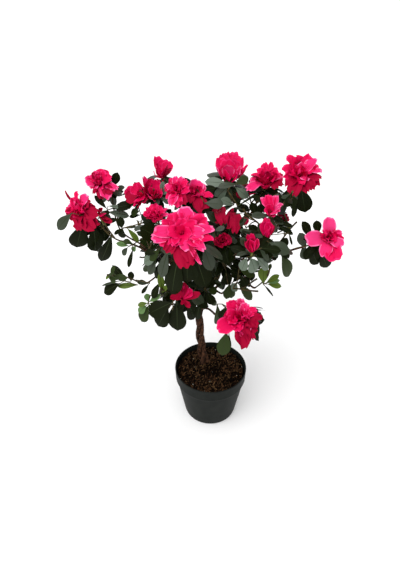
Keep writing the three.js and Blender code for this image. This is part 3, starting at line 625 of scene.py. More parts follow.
def stem_course(index, bulge=0.0, lean=0.0):
    """The twisted course of a stem. The stems that show bulge apart and lean a little between their ends."""
    phase = math.pi + 2 * math.pi * index / TRUNK["stems"]

    def at(t):
        turn = phase + 2 * math.pi * TRUNK["turns"] * (t - 1)
        offset = (2 * stem_radius(t) + 2 * CLEAR) / math.sqrt(3)
        swing = math.sin(math.pi * min(max(t, 0), 1))
        offset *= 1 + bulge * math.sqrt(swing)
        side = np.array([math.cos(turn), math.sin(turn), 0])
        return mix(FOOT - UP * STEM["sunk"], FORK, t) + side * offset + SIDEWAYS * lean * swing

    return at


def grow_stems():
    stems = []
    for k in range(TRUNK["stems"]):
        shown = stem_course(k, TRUNK["bulge"], TRUNK["lean"])
        stems.append(Limb(f"stem_{k + 1}", stem_course(k), shown, stem_radius, TRUNK["steps"]))
    return stems


# Boughs: each leaves the limb that gives it the shortest and straightest way from the fork

# The points of a limb at which another may leave it
ROOTS_AT = range(2, SAMPLES - 5)


def spray_middle(part):
    """The middle of a spray's blooms, or where it is said to lie."""
    if not part["blooms"]:
        return np.array(part["middle"], float)
    return np.mean([b["at"] for b in part["blooms"]], axis=0)


def spray_entry(part):
    """Where a bough ends and its spray begins."""
    middle = spray_middle(part)
    return middle + toward(middle, FORK) * SPRAY["entry"] - UP * SPRAY["entry_drop"]


def root_for(end, limbs):
    """The limb with the cheapest course to an end, the point where it leaves, and the limb's way there."""
    best = (math.inf, None, 0, None)
    for limb in limbs:
        for i in ROOTS_AT:
            way = toward(limb.points[i], end)
            onward = toward(limb.points[i - 1], limb.points[i])
            cost = np.linalg.norm(end - limb.points[i]) + BOUGH["detour_cost"] * limb.reach[i]
            cost += BOUGH["turn_cost"] * (1 - way @ onward)
            if cost < best[0]:
                best = (cost, limb, i, onward)
    return best[1:]


def grow_bough(part, start, shown_start, leave, radius, before):
    end = spray_entry(part)
    arrival = toward(end, spray_middle(part))
    course = bent_curve(start, leave, end, arrival, BOUGH["grip"])
    shown_end = end
    if part["way"]:
        before_end, shown_end = (seen_at(*place, end[1]) for place in part["way"])
        arrival = toward(before_end, shown_end)
    shown = bent_curve(shown_start, leave, shown_end, arrival, BOUGH["grip"])

    def radius_at(t):
        return mix(radius, BOUGH["tip"], math.sqrt(t))

    return Limb(f"bough_{part['name']}", course, shown, radius_at, BOUGH["steps"], before)


def grow_boughs(stems):
    boughs, free = [], list(stems)
    for part in SPRAYS:
        end = spray_entry(part)
        if free:
            free.sort(key=lambda s: np.linalg.norm(s.end - end))
            stem = free.pop(0)
            start = stem.end + stem.heading * CLEAR
            boughs.append(grow_bough(part, start, stem.end, stem.heading, STEM["top"], 0))
        else:
            limb, i, onward = root_for(end, boughs)
            leave = unit(toward(limb.points[i], end) + onward)
            radius = BOUGH["thinning"] * limb.radii[i]
            shown_start = limb.shown(i / SAMPLES)
            boughs.append(grow_bough(part, limb.points[i], shown_start, leave, radius, limb.reach[i]))
    return boughs


# Sprays: a stem from the bough's tip, twigs from the stem, and a tip on each twig for a whorl of leaves


def bloom_depth(b):
    return mix(BLOOM["bud_depth"], BLOOM["open_depth"], b["open"]) * 0.5 * b["width"]


def bloom_tips(part):
    tips = []
    for b in part["blooms"]:
        axis = b["axis"]
        base = b["at"] - axis * bloom_depth(b)
        tip = {"at": base - axis * WHORL["pedicel"], "axis": axis, "base": base, "bloom": b}
        tip["end"] = base + axis * BLOOM["heart_sink"] * bloom_depth(b)
        tips.append(tip | {"length": LEAF["length"] * part["leaf_size"]})
    return tips


def leafy_tips(part, index, taken):
    """A leafy tip stands beside the spray's middle, a golden turn on from the last one that had room."""
    middle = spray_middle(part)
    outward = toward(FORK, middle)
    square = square_to(outward)
    beside, onward, upward = SPRAY["lean"]
    least, most = SPRAY["behind_bloom"] if part["blooms"] else SPRAY["behind_middle"]
    tips = []
    for k in range(LEAFY_TRIES):
        if len(tips) == part["leafy"]:
            break
        turn = GOLDEN_TURN * k + 2 * math.pi * chance(index, 1)
        side = ring_point(np.zeros(3), square, 1, turn)
        spread = SPRAY["spread"] * part["leaf_size"] * mix(*SPRAY["spread_vary"], chance(index, k, 2))
        at = middle + side * spread + outward * SPRAY["spread"] * mix(least, most, chance(index, k, 3))
        if any(np.linalg.norm(at - place) <= room for place, room in taken):
            continue
        axis = unit(side * beside + outward * onward + UP * upward)
        length = LEAF["length"] * part["leaf_size"] * mix(*LEAF["on_leafy_tips"], chance(index, k, 4))
        end = at + axis * 0.5 * WHORL["slots"] * LEAF["pitch"]
        tips.append({"at": at, "axis": axis, "end": end, "bloom": None, "length": length})
        taken.append((at, SPRAY["tip_room"]))
    return tips


def twig_radius(t):
    """Twigs thicken a little toward their tips, as green shoots do."""
    return mix(TWIG["root"], TWIG["tip"], t)


def grow_twigs(tips, bough):
    """The first tip's twig is the spray's stem, which the twigs of the other tips leave."""
    start = bough.end + bough.heading * CLEAR
    first = tips[0]
    course = bent_curve(start, bough.heading, first["end"], first["axis"], TWIG["grip"])
    onward = heading_of(bough.shown, 1)
    shown = bent_curve(bough.shown(1) - onward, onward, first["end"], first["axis"], TWIG["grip"])
    stem = first["twig"] = Limb("stem", course, shown, twig_radius, TWIG["steps"])
    for k, tip in enumerate(tips[1:], 1):
        i = round(SAMPLES * mix(*TWIG["along_stem"], (k - 0.5) / (len(tips) - 1)))
        root = stem.points[i]
        leave = unit(toward(root, tip["end"]) + toward(root, stem.points[i + 1]))
        course = bent_curve(root, leave, tip["end"], tip["axis"], TWIG["grip"])
        shown = bent_curve(stem.shown(i / SAMPLES), leave, tip["end"], tip["axis"], TWIG["grip"])
        tip["twig"] = Limb("twig", course, shown, twig_radius, TWIG["steps"])


def grow_sprays(boughs):
    blooming = [bloom_tips(part) for part in SPRAYS]
    taken = []
    for tips in blooming:
        for tip in tips:
            b = tip["bloom"]
            taken.append((tip["at"], SPRAY["tip_room"]))
            taken.append((b["at"], 0.5 * b["width"] + SPRAY["bloom_room"]))
    sprays = []
    for index, part in enumerate(SPRAYS):
        tips = blooming[index] + leafy_tips(part, index, taken)
        grow_twigs(tips, boughs[index])
        sprays.append(part | {"index": index, "tips": tips})
    return sprays


# Each spray's own space, and the wood that a leaf keeps clear of


def kept_in_view(sprays):
    """Circles in the frame where no leaf by rule hangs before a told leaf or bloom, with their depths."""
    circles = []
    for _, _, depth, leaves in WHORLS_SEEN:
        for u, v, tip_u, tip_v, width, green in leaves:
            if green in SEEN["light"] or width >= SEEN["big"]:
                radius = SEEN["half"] * width
                circles += [(mix(u, tip_u, t), mix(v, tip_v, t), radius, depth) for t in SEEN["open_at"]]
    for part in sprays:
        for b, (_, _, petals) in zip(part["blooms"], told_of(PETALS_SEEN, part["name"])):
            tips = np.array([petal[:2] for petal in petals], float)
            middle = tips.mean(axis=0)
            circles.append((*middle, np.hypot(*(tips - middle).T).mean(), b["at"][1]))
    return circles


class Room:
    """Tells whether a leaf's points lie in its own spray's space, off the limbs and out of the blooms."""

    def __init__(self, sprays, limbs):
        spaces = []
        self.blooms, self.fronts = [], []
        for part in sprays:
            for tip in part["tips"]:
                spaces.append((tip["at"], SPACE["leaf_reach"] * tip["length"], part["index"]))
                b = tip["bloom"]
                if b:
                    radius = 0.5 * b["width"]
                    spaces.append((b["at"], radius + SPACE["bloom_margin"], part["index"]))
                    self.blooms.append((tip["base"], tip["axis"], radius, bloom_depth(b)))
                    if part["front"]:
                        self.fronts.append((b["at"], radius * b["full"]))
        self.places, self.reaches, self.owners = (np.array(column) for column in zip(*spaces))
        self.told = kept_in_view(sprays)
        self.starts = np.array([point for limb in limbs for point in limb.points[:-1]])
        self.ways = np.array([point for limb in limbs for point in limb.points[1:]]) - self.starts
        self.radii = np.array([radius for limb in limbs for radius in limb.radii[1:]])
        corners = [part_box(f"spray_{part['name']}") for part in sprays]
        self.boxes = [(np.array(low) / MM, np.array(high) / MM) for low, high in corners]

    def in_own_space(self, points, index):
        away = np.linalg.norm(points[:, None] - self.places, axis=2) - self.reaches
        own = away[:, self.owners == index].min(axis=1)
        other = away[:, self.owners != index].min(axis=1)
        return bool(np.all(own < other))

    def off_limbs(self, points):
        from_start = points[:, None] - self.starts
        share = np.einsum("ijk,jk->ij", from_start, self.ways) / np.einsum("jk,jk->j", self.ways, self.ways)
        nearest = self.starts + np.clip(share, 0, 1)[..., None] * self.ways
        gap = np.linalg.norm(points[:, None] - nearest, axis=2) - self.radii
        return bool(np.all(gap > SPACE["limb_gap"]))

    def out_of_blooms(self, points):
        """Blooms stand at the ends of their shoots, so no leaf crosses a bloom or hangs before its face."""
        for base, axis, radius, depth in self.blooms:
            rel = points - base
            far = np.linalg.norm(rel, axis=1)
            height = rel @ axis
            aside = np.sqrt(np.maximum(far**2 - height**2, 0))
            bowl = radius * np.sqrt(np.clip(height / depth, 0, 1))
            inside = (height > 0) & (height < radius) & (aside < bowl)
            before = (far < FACE["before"] * radius) & (height > math.cos(FACE["cone"]) * far)
            if np.any(inside | (before & (height > FACE["over"] * depth))):
                return False
        return True

    def beside_view(self, points):
        """No leaf hangs before a front bloom as the camera sees it."""
        for middle, radius in self.fronts:
            way = toward(middle, EYE)
            rel = points - middle
            near = rel @ way
            aside = np.linalg.norm(rel - near[:, None] * way, axis=1)
            if np.any((near > FACE["near"] * radius) & (aside < FACE["view"] * radius)):
                return False
        return True

    def off_sky(self, points):
        """No leaf shows in a gap where sky is seen, or before a told leaf or bloom."""
        across, down = in_frame(points)
        for u, v, radius, depth in self.told:
            if np.any((points[:, 1] < depth) & (np.hypot(across - u, down - v) < radius)):
                return False
        return all(np.all(np.hypot(across - u, down - v) > radius) for u, v, radius in SKY)

    def in_box(self, points, index):
        """A spray's leaves stay in the box of its solid, or pass it a little."""
        low, high = self.boxes[index]
        return bool(np.all(points > low - SPACE["past_box"]) and np.all(points < high + SPACE["past_box"]))

    def fits(self, points, index):
        if not (self.in_box(points, index) and self.in_own_space(points, index)):
            return False
        if not (self.off_sky(points) and self.out_of_blooms(points)):
            return False
        return self.beside_view(points) and self.off_limbs(points)


# Meshes: small surfaces of one kind are gathered and joined into one piece


def quads_of(rows, cols, around=False):
    """Faces of a grid of points, row by row. Around joins the last column to the first."""
    r = np.arange(rows - 1)[:, None]
    c = np.arange(cols if around else cols - 1)[None, :]
    n = (c + 1) % cols
    a, b = r * cols + c, r * cols + n
    return np.stack([a, b, b + cols, a + cols], axis=-1).reshape(-1, 4)


def put(name, data):
    """A new object in the scene."""
    made = bpy.data.objects.new(name, data)
    bpy.context.scene.collection.objects.link(made)
    return made


class Kind:
    """Surfaces of one colour, which become one mesh."""

    def __init__(self, name):
        self.name, self.points, self.faces, self.count = name, [], [], 0

    def add(self, points, faces):
        self.points.append(points.reshape(-1, 3))
        self.faces.append(faces + self.count)
        self.count += len(self.points[-1])

    def add_grid(self, grid, around=False):
        self.add(grid, quads_of(grid.shape[0], grid.shape[1], around))

    def build(self, material, slot, nodes):
        points = np.concatenate(self.points) * MM
        faces = np.concatenate(self.faces)
        mesh = bpy.data.meshes.new(self.name)
        mesh.vertices.add(len(points))
        mesh.vertices.foreach_set("co", points.astype(np.float32).ravel())
        mesh.loops.add(faces.size)
        mesh.loops.foreach_set("vertex_index", faces.astype(np.int32).ravel())
        mesh.polygons.add(len(faces))
        mesh.polygons.foreach_set("loop_start", np.arange(0, faces.size, faces.shape[1], dtype=np.int32))
        mesh.update(calc_edges=True)
        mesh.shade_smooth()
        mesh.materials.append(material)
        piece = put(self.name, mesh)
        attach(piece, "root")
        if nodes:
            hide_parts(*nodes)


# How finely each sort of limb is made: sides round it, steps along it, the swelling of its knots, the
# height of its ridges as a share of its radius, and how much thicker it shows than it grew
TUBES = {
    "trunk": {"sides": 28, "steps": 110, "swell": 0.1, "relief": 0.07, "thick": 1.14},
    "bough": {"sides": 12, "steps": 36, "swell": 0.2, "relief": 0.09, "thick": 1.05},
    "twig": {"sides": 8, "steps": 14, "relief": 0.05, "thick": 0.8},
    "shoot": {"sides": 6, "steps": 5},
    "stalk": {"sides": 6, "steps": 6},
    "calyx": {"sides": 8, "steps": 8},
}
# Sets of ridges: how many stand round the limb, how far they wind in radians per millimetre, and their weight
RIDGES = ((2, 0.05, 0.5), (5, 0.11, 0.32), (9, -0.16, 0.2), (13, 0.4, 0.1))
# Knots: how fast they follow each other in radians per millimetre, and how short they are
KNOTS = {"pace": 0.21, "sharp": 8}
# A limb's rounded end: how far it stands out as a share of the radius, and where its rows lie on the way
# there
CAP = {"out": 0.4, "rows": (0.6, 0.98)}


def add_tube(kind, limb, sides, steps, swell=0.0, relief=0.0, thick=1.0, seed=0):
    """A round limb along its smooth course, with long ridges of bark."""
    places = np.linspace(0, 1, steps + 1)
    centres = np.array([limb.shown(t) for t in places])
    radii = np.array([limb.radius_at(t) for t in places]) * thick
    along = np.concatenate([[0], np.cumsum(np.linalg.norm(np.diff(centres, axis=0), axis=1))])
    turns = ring_of(sides)
    u = square_to(heading_of(limb.shown, 0.0))[0]
    rows = []
    for i, t in enumerate(places):
        heading = heading_of(limb.shown, t, 0.01)
        u = unit(u - heading * (u @ heading))
        v = np.cross(heading, u)
        ridges = np.zeros(sides)
        for n, (lobes, twist, weight) in enumerate(RIDGES):
            ridges += weight * np.sin(lobes * turns + twist * along[i] + ROUND * chance(seed, n))
        knots = max(0.0, math.sin(KNOTS["pace"] * along[i] + ROUND * chance(seed, 9))) ** KNOTS["sharp"]
        radius = radii[i] * (1 + relief * ridges + swell * knots)
        rows.append(centres[i] + np.outer(radius * np.cos(turns), u) + np.outer(radius * np.sin(turns), v))
    kind.add_grid(np.array(rows), around=True)
    top = rows[-1]
    end = np.array([centres[-1] + heading_of(limb.shown, 1.0) * CAP["out"] * radii[-1]])
    kind.add_grid(np.array([top, *(mix(top, end, share) for share in CAP["rows"])]), around=True)


# Leaves

# A blade's rows and columns of points, its width, which varies, and the share of its length that is stalk
LEAF_SHAPE = {"rows": 11, "cols": 7, "width": 0.44, "vary": (0.88, 1.12), "petiole": 0.08}
# How far beyond the middle it is widest, how blunt it ends, how far it bends down and from where, and the
# stalk's half width, which narrows by a share to the tip
LEAF_SHAPE |= {"late": 1.4, "blunt": 0.68, "bend": (0.1, 0.5), "level": 0.2, "stalk": (0.02, 0.7)}
# How deep it folds at the midrib and sags beside it, and how high and how often its sides wave
LEAF_SHAPE |= {"fold": 0.2, "fold_vary": (0.3, 1.3), "sag": 0.75}
LEAF_SHAPE |= {"wave": 0.035, "wave_middle": 0.3, "waves": 2.2}
# A midrib's half width as a share of the leaf's length, what is left of it at the tip, and how high it lies
MIDRIB = {"half": 0.011, "at_tip": 0.25, "over": 0.12}
# The sizes that a leaf by rule tries until one has room, and the slot from which a shoot's leaves are young
LEAF_SIZES = (1, 0.85, 0.7, 0.55)
# Shares of young leaves that are fresh, and of other leaves whose green swaps between dark and painted sheen
SHADES = {"young_slot": 7, "fresh": 0.6, "other": 0.25}


def leaf_place(tip, keys, slot, size):
    """Root, direction, upper side and length of one leaf of a whorl, by the solids' rule."""
    share = slot / WHORL["slots"]
    first = -math.pi / 2 + chance(*keys, 5) - 0.5 if tip["bloom"] else 2 * math.pi * chance(*keys, 5)
    even = GOLDEN_TURN * slot + first
    turn = even - WHORL["low_side"] * (1 - abs(tip["axis"][2])) * math.cos(even)
    widest, narrowest = WHORL["bloom_spread"] if tip["bloom"] else WHORL["leafy_spread"]
    spread = mix(widest, narrowest, share) + LEAF["wander"] * (chance(*keys, slot, 6) - 0.5)
    side = ring_point(np.zeros(3), square_to(tip["axis"]), 1, turn)
    direction = side * math.sin(spread) + tip["axis"] * math.cos(spread)
    direction = unit(direction - UP * LEAF["droop"] * mix(*LEAF["droop_vary"], chance(*keys, slot, 7)))
    normal = tip["axis"] + LEAF["face_up"] * UP
    normal = unit(normal - direction * (normal @ direction))
    vary = 1 + LEAF["vary"] * (chance(*keys, slot, 8) - 0.5)
    length = size * tip["length"] * (1 - LEAF["shrink"] * share) * vary
    root = tip["at"] + tip["axis"] * LEAF["pitch"] * (slot - WHORL["slots"] / 2)
    return root, direction, normal, length


def leaf_grid(root, direction, normal, length, keys, broad=1.0):
    """An egg-shaped blade, widest beyond its middle, folded at the midrib and bent down along its length."""
    shape = LEAF_SHAPE
    width = length * broad * shape["width"] * mix(*shape["vary"], chance(*keys, 21))
    v = np.linspace(0, 1, shape["rows"])[:, None]
    u = np.linspace(-1, 1, shape["cols"])[None, :]
    blade = np.clip((v - shape["petiole"]) / (1 - shape["petiole"]), 0, 1)
    stalk, narrowing = shape["stalk"]
    half = 0.5 * width * np.sin(math.pi * blade ** shape["late"]) ** shape["blunt"]
    half = half + stalk * length * (1 - narrowing * v)
    angle = -mix(*shape["bend"], chance(*keys, 22)) * (v - shape["level"])
    step = length / (shape["rows"] - 1)
    forward = np.cumsum(np.cos(angle), axis=0) * step
    down = np.cumsum(np.sin(angle), axis=0) * step
    forward, down = forward - forward[0], down - down[0]
    fold = mix(*shape["fold_vary"], chance(*keys, 23)) * shape["fold"]
    wave = shape["wave"] * length * (chance(*keys, 24) - shape["wave_middle"])
    phase = ROUND * chance(*keys, 25)
    lift = half * (fold * np.abs(u) - shape["sag"] * fold * u * u)
    lift = lift + wave * np.sin(shape["waves"] * math.pi * v + phase) * u * np.sin(math.pi * v)
    side = np.cross(normal, direction)
    grid = root + forward[..., None] * direction + (half * u)[..., None] * side
    return grid + (down + lift)[..., None] * normal


def add_leaf(kinds, green, grid):
    """A blade, and its midrib as a narrow strip that lies over it and ends before the tip."""
    kinds[green].add_grid(grid)
    middle = grid.shape[1] // 2
    spine = grid[:, middle]
    across = grid[:, middle + 1] - grid[:, middle - 1]
    across /= np.linalg.norm(across, axis=1)[:, None] + 1e-9
    over = np.cross(np.gradient(spine, axis=0), across)
    over /= np.linalg.norm(over, axis=1)[:, None] + 1e-9
    length = np.linalg.norm(spine[-1] - spine[0])
    half = (MIDRIB["half"] * length * np.linspace(1, MIDRIB["at_tip"], len(spine)))[:, None]
    top = spine + over * MIDRIB["over"]
    kinds["midribs"].add_grid(np.stack([top - across * half, top + across * half], axis=1)[:-1])


def leaf_shade(green, slot, keys):
    """Young leaves at a shoot's end are fresh; a few of the others take the lighter painted-sheen green where
    the spray's green is dark, and the dark green elsewhere.
    """
    if slot >= SHADES["young_slot"] and green == "olive":
        return "fresh" if chance(*keys, 29) < SHADES["fresh"] else "olive"
    if chance(*keys, 30) < SHADES["other"]:
        return "sheen" if green == "dark" else "dark"
    return green


def whorl(tip, keys, part, room, slots, shrink=1.0):
    """Leaves round a tip, each as long as finds room, as (slot, grid). Some of a leaf's points are tried."""
    found = []
    for slot in slots:
        for size in LEAF_SIZES:
            place = leaf_place(tip, keys, slot, size * shrink * part["shown"])
            grid = leaf_grid(*place, (*keys, slot), part["broad"])
            if room.fits(grid[2::2, ::3].reshape(-1, 3), keys[0]):
                found.append((slot, grid))
                break
    return found


def side_shoots(tip, keys, count):
    """Short twigs that leave a tip's twig on all sides in turn, each with a tip of its own."""
    twig = tip["twig"]
    shoots = []
    for j in range(count):
        t = mix(*SHOOT["along"], (j + chance(*keys, j, 50)) / count)
        root = twig.shown(t)
        onward = heading_of(twig.shown, t)
        out = ring_point(np.zeros(3), square_to(onward), 1, GOLDEN_TURN * j + ROUND * chance(*keys, 51))
        heading = unit(onward + out * SHOOT["open"] + UP * SHOOT["rise"])
        end = root + heading * mix(*SHOOT["length"], chance(*keys, j, 52))
        curve = bent_curve(root, unit(onward + out), end, heading, TWIG["grip"])
        limb = Limb("shoot", curve, curve, lambda t: mix(*SHOOT["radius"], t), TWIG["steps"])
        shoot = {"at": end - heading * SHOOT["tip"], "axis": heading, "bloom": None, "length": tip["length"]}
        shoots.append(shoot | {"twig": limb})
    return shoots


def grow_leaves(sprays, room, kinds, twigs):
    """Twigs are made only where their leaves found room."""
    for part in sprays:
        index, green = part["index"], part["green"]
        for k, tip in enumerate(part["tips"]):
            leaves = whorl(tip, (index, k), part, room, range(WHORL["slots"]))
            if not tip["bloom"] and k and len(leaves) < SHOOT["least"]:
                continue
            add_tube(twigs, tip["twig"], seed=index * 10 + k, **TUBES["twig"])
            for slot, grid in leaves:
                add_leaf(kinds, leaf_shade(green, slot, (index, k, slot)), grid)
            for j, shoot in enumerate(side_shoots(tip, (index, k), part["shoots"])):
                leaves = whorl(shoot, (index, 100 + 10 * k + j), part, room, SHOOT["slots"], SHOOT["shrink"])
                if len(leaves) < SHOOT["least"]:
                    continue
                add_tube(twigs, shoot["twig"], **TUBES["shoot"])
                for slot, grid in leaves:
                    add_leaf(kinds, leaf_shade(green, 0, (index, k, j, slot)), grid)


# Where a told whorl's stalk may leave a twig
STALKS_AT = (0.15, 0.35, 0.55, 0.75, 0.95)


def nearest_twig(tips, place):
    """The point of a spray's twigs that is nearest to a place, and the way the twig runs there."""
    points = [(tip["twig"], t) for tip in tips for t in STALKS_AT]
    twig, t = min(points, key=lambda spot: np.linalg.norm(spot[0].shown(spot[1]) - place))
    return twig.shown(t), heading_of(twig.shown, t)


def add_stalk(twigs, start, onward, end, radius):
    way = toward(start, end)
    course = bent_curve(start, unit(onward + way), end, way, TWIG["grip"])
    add_tube(twigs, Limb("stalk", course, course, lambda t: radius, TWIG["steps"]), **TUBES["stalk"])


def seen_leaf(leaf, depth, keys):
    """A told leaf's grid, from its root to its tip, which may stand a little nearer or further back."""
    u, v, tip_u, tip_v, width, _ = leaf
    root = seen_at(u, v, depth)
    end = seen_at(tip_u, tip_v, depth + SEEN["sway"] * (chance(*keys, 1) - 0.5))
    scale = np.linalg.norm(root - EYE) / FOCAL
    length = np.linalg.norm(end - root) * SEEN["longer"]
    direction = toward(root, end)
    turned = SIDEWAYS * SEEN["turn"] * (chance(*keys, 2) - 0.5)
    normal = toward(root, EYE) + SEEN["face_up"] * UP + turned
    normal = unit(normal - direction * (normal @ direction))
    return leaf_grid(root, direction, normal, length, keys, width * scale / (length * LEAF_SHAPE["width"]))


def grow_seen(sprays, kinds, twigs):
    """The whorls that the photograph shows leaf by leaf, each on a twig of its own from its spray."""
    for part in sprays:
        for n, (place, depth, leaves) in enumerate(told_of(WHORLS_SEEN, part["name"])):
            whorl_at = seen_at(*place, depth)
            start, onward = nearest_twig(part["tips"], whorl_at)
            if np.linalg.norm(whorl_at - start) > SEEN["stalk"]:
                add_stalk(twigs, start, onward, whorl_at, SEEN["radius"])
            for m, leaf in enumerate(leaves):
                add_leaf(kinds, leaf[-1], seen_leaf(leaf, depth, (part["index"], 200 + n, m)))
                root = seen_at(*leaf[:2], depth)
                if np.linalg.norm(root - whorl_at) > SEEN["stalk"]:
                    add_stalk(twigs, whorl_at, toward(whorl_at, root), root, SEEN["thin"] * SEEN["radius"])


# Blooms

# A petal's rows and columns of points, the steps of its middle line, and its gap at the foot
PETAL = {"rows": 15, "cols": 13, "fine": 41, "gap": 0.03}
# Its end: how the point and the corners fall back from the middle, and how deep and how many its lobes are
PETAL |= {"point_power": 1.4, "corner": 0.2, "corner_power": 4, "lobe": 0.04, "lobes": (4, 9)}
# Its middle line: how late it bends, how it waves, and the twist of an outer and of an inner petal
PETAL |= {"late": 1.2, "wave": 0.6, "wave_middle": 0.3, "twist": (0.9, 2.8)}
# Its width: the share at the root, where it is full and how fast, and what it loses from a place to its end
PETAL |= {"root": 0.26, "full_at": 0.7, "swell": 1.2, "narrow_at": 0.72, "narrowing": 0.25, "opening": 0.8}
# Its ruffles: how they grow along it and to the sides, how many they are, and how the sides differ
RUFFLE = {"along": 1.4, "aside": 1.6, "waves": (2.2, 4.2), "differ": 2.4, "edge": 0.5, "edge_waves": (5, 8)}
VEINS = {"high": 0.012, "many": 18}
FOLD = {"deep": 0.07, "middle": 0.2, "narrow": 8}

# For each form: how many petals stand in the outer whorls, the middle and the heart, how far the
# outermost and the innermost bend away from the axis in degrees, how long they are as shares of the
# bloom's radius, how wide as a share of their length, how deep their edges are ruffled, and how pointed
# they are
FORMS = {
    "loose": ((7, 7, 5), (82, 22), (1.1, 0.8), 0.92, 0.12, 0.1),
    "rosette": ((6, 6, 5), (90, 24), (1.1, 0.66), 1.0, 0.1, 0.08),
    "drooping": ((7, 8, 6), (84, 22), (1.1, 0.84), 0.9, 0.13, 0.1),
    "goblet": ((8, 6, 3), (58, 12), (1.25, 1.05), 0.8, 0.08, 0.06),
    "crown": ((9, 7, 4), (72, 12), (1.26, 1.1), 0.72, 0.08, 0.12),
    "cup": ((6, 5, 3), (52, 12), (1.32, 1.0), 1.0, 0.05, 0.02),
    "bud": ((5, 3, 1), (24, 6), (1.9, 1.6), 0.8, 0.02, 0.4),
}
FORM_NUMBERS = ("count", "bend", "long", "wide", "frill", "point")
FORMS = {name: dict(zip(FORM_NUMBERS, numbers)) for name, numbers in FORMS.items()}
# Petals by rule: how much of their bend they have and how loosely they stand in a shut and in an open bloom
OPENING = {"bend": (0.55, 1), "loose": (0.4, 0.85)}
# Numbers of the outermost and the innermost: where they leave the foot, their width, cup and ruffles
INWARD = {"start": (0.45, 0.25), "wide": (1, 0.66), "cup": (0.6, 1.6), "frill": (1, 1.5), "power": 0.8}
# How their turn, length and width vary, and how hanging ones bend further and are longer
VARIED = {"turn": 0.7, "long": (0.8, 1.12), "wide": (0.84, 1.12), "hang": 0.6, "hang_long": 0.2}
BUD = {"bend": 1, "loose": 0.1, "cup": 2.6}
# The least and the most bend that counts for the way in which a petal leaves the foot
START = (0.1, 1.5)
# Told petals: how far they bend either way from the straight line to their tips, and by which share of
# its angle at most. Those of a bloom whose outer petals bend less than a limit are rising
TOLD = {"curl": 0.6, "most": 0.9, "rising": 0.4, "limit": 70}
# How high their tips stand, and how broad, ruffled and cupped they are. Their bloom's heart is smaller
TOLD |= {"rise": (0.85, 1.15), "broad": 1.16, "frill": 0.5, "cup": 0.8, "inward": 0.1, "heart": 0.8}
# The colour of a petal and of its rim. Deep is painted shade; pale and the rim are partly the petal's
# paler edge and partly painted highlight
TONES = {
    "plain": ("petals_bright", None),
    "bright": ("petals_bright", "petals_pale"),
    "pale": ("petals_pale", "petals_rim_and_highlight"),
    "rosy": ("petals_rosy", "petals_rim_and_highlight"),
    "deep": ("petals_painted_shade", None),
}
# The tones of petals by rule, each up to a share; deep ones are painted shade
SHADED_PICKS = ((0.75, "deep"), (1, "plain"))
INNER = ((0.12, "deep"), (0.6, "plain"), (1, "bright"))
# For each tone of bloom, those of its outer and of its inner petals. A deep bloom is painted in shade
PICKS = {
    "bright": (((0.6, "bright"), (1, "plain")), INNER),
    "pale": (((0.7, "pale"), (1, "bright")), INNER),
    "deep": (SHADED_PICKS, SHADED_PICKS),
}
# As shares of the radius: how far out from the axis the middle petals stand, and the cup that closes the
# heart, which is painted shade in the deep petal colour
HEART = {"ring": 0.16, "sides": 10, "cup": ((0.01, 0.03), (0.1, 0.04), (0.2, 0.12))}
# A flower stalk's radius, and how much it widens into the bloom
CALYX = {"radius": 1.2, "widening": 0.9}


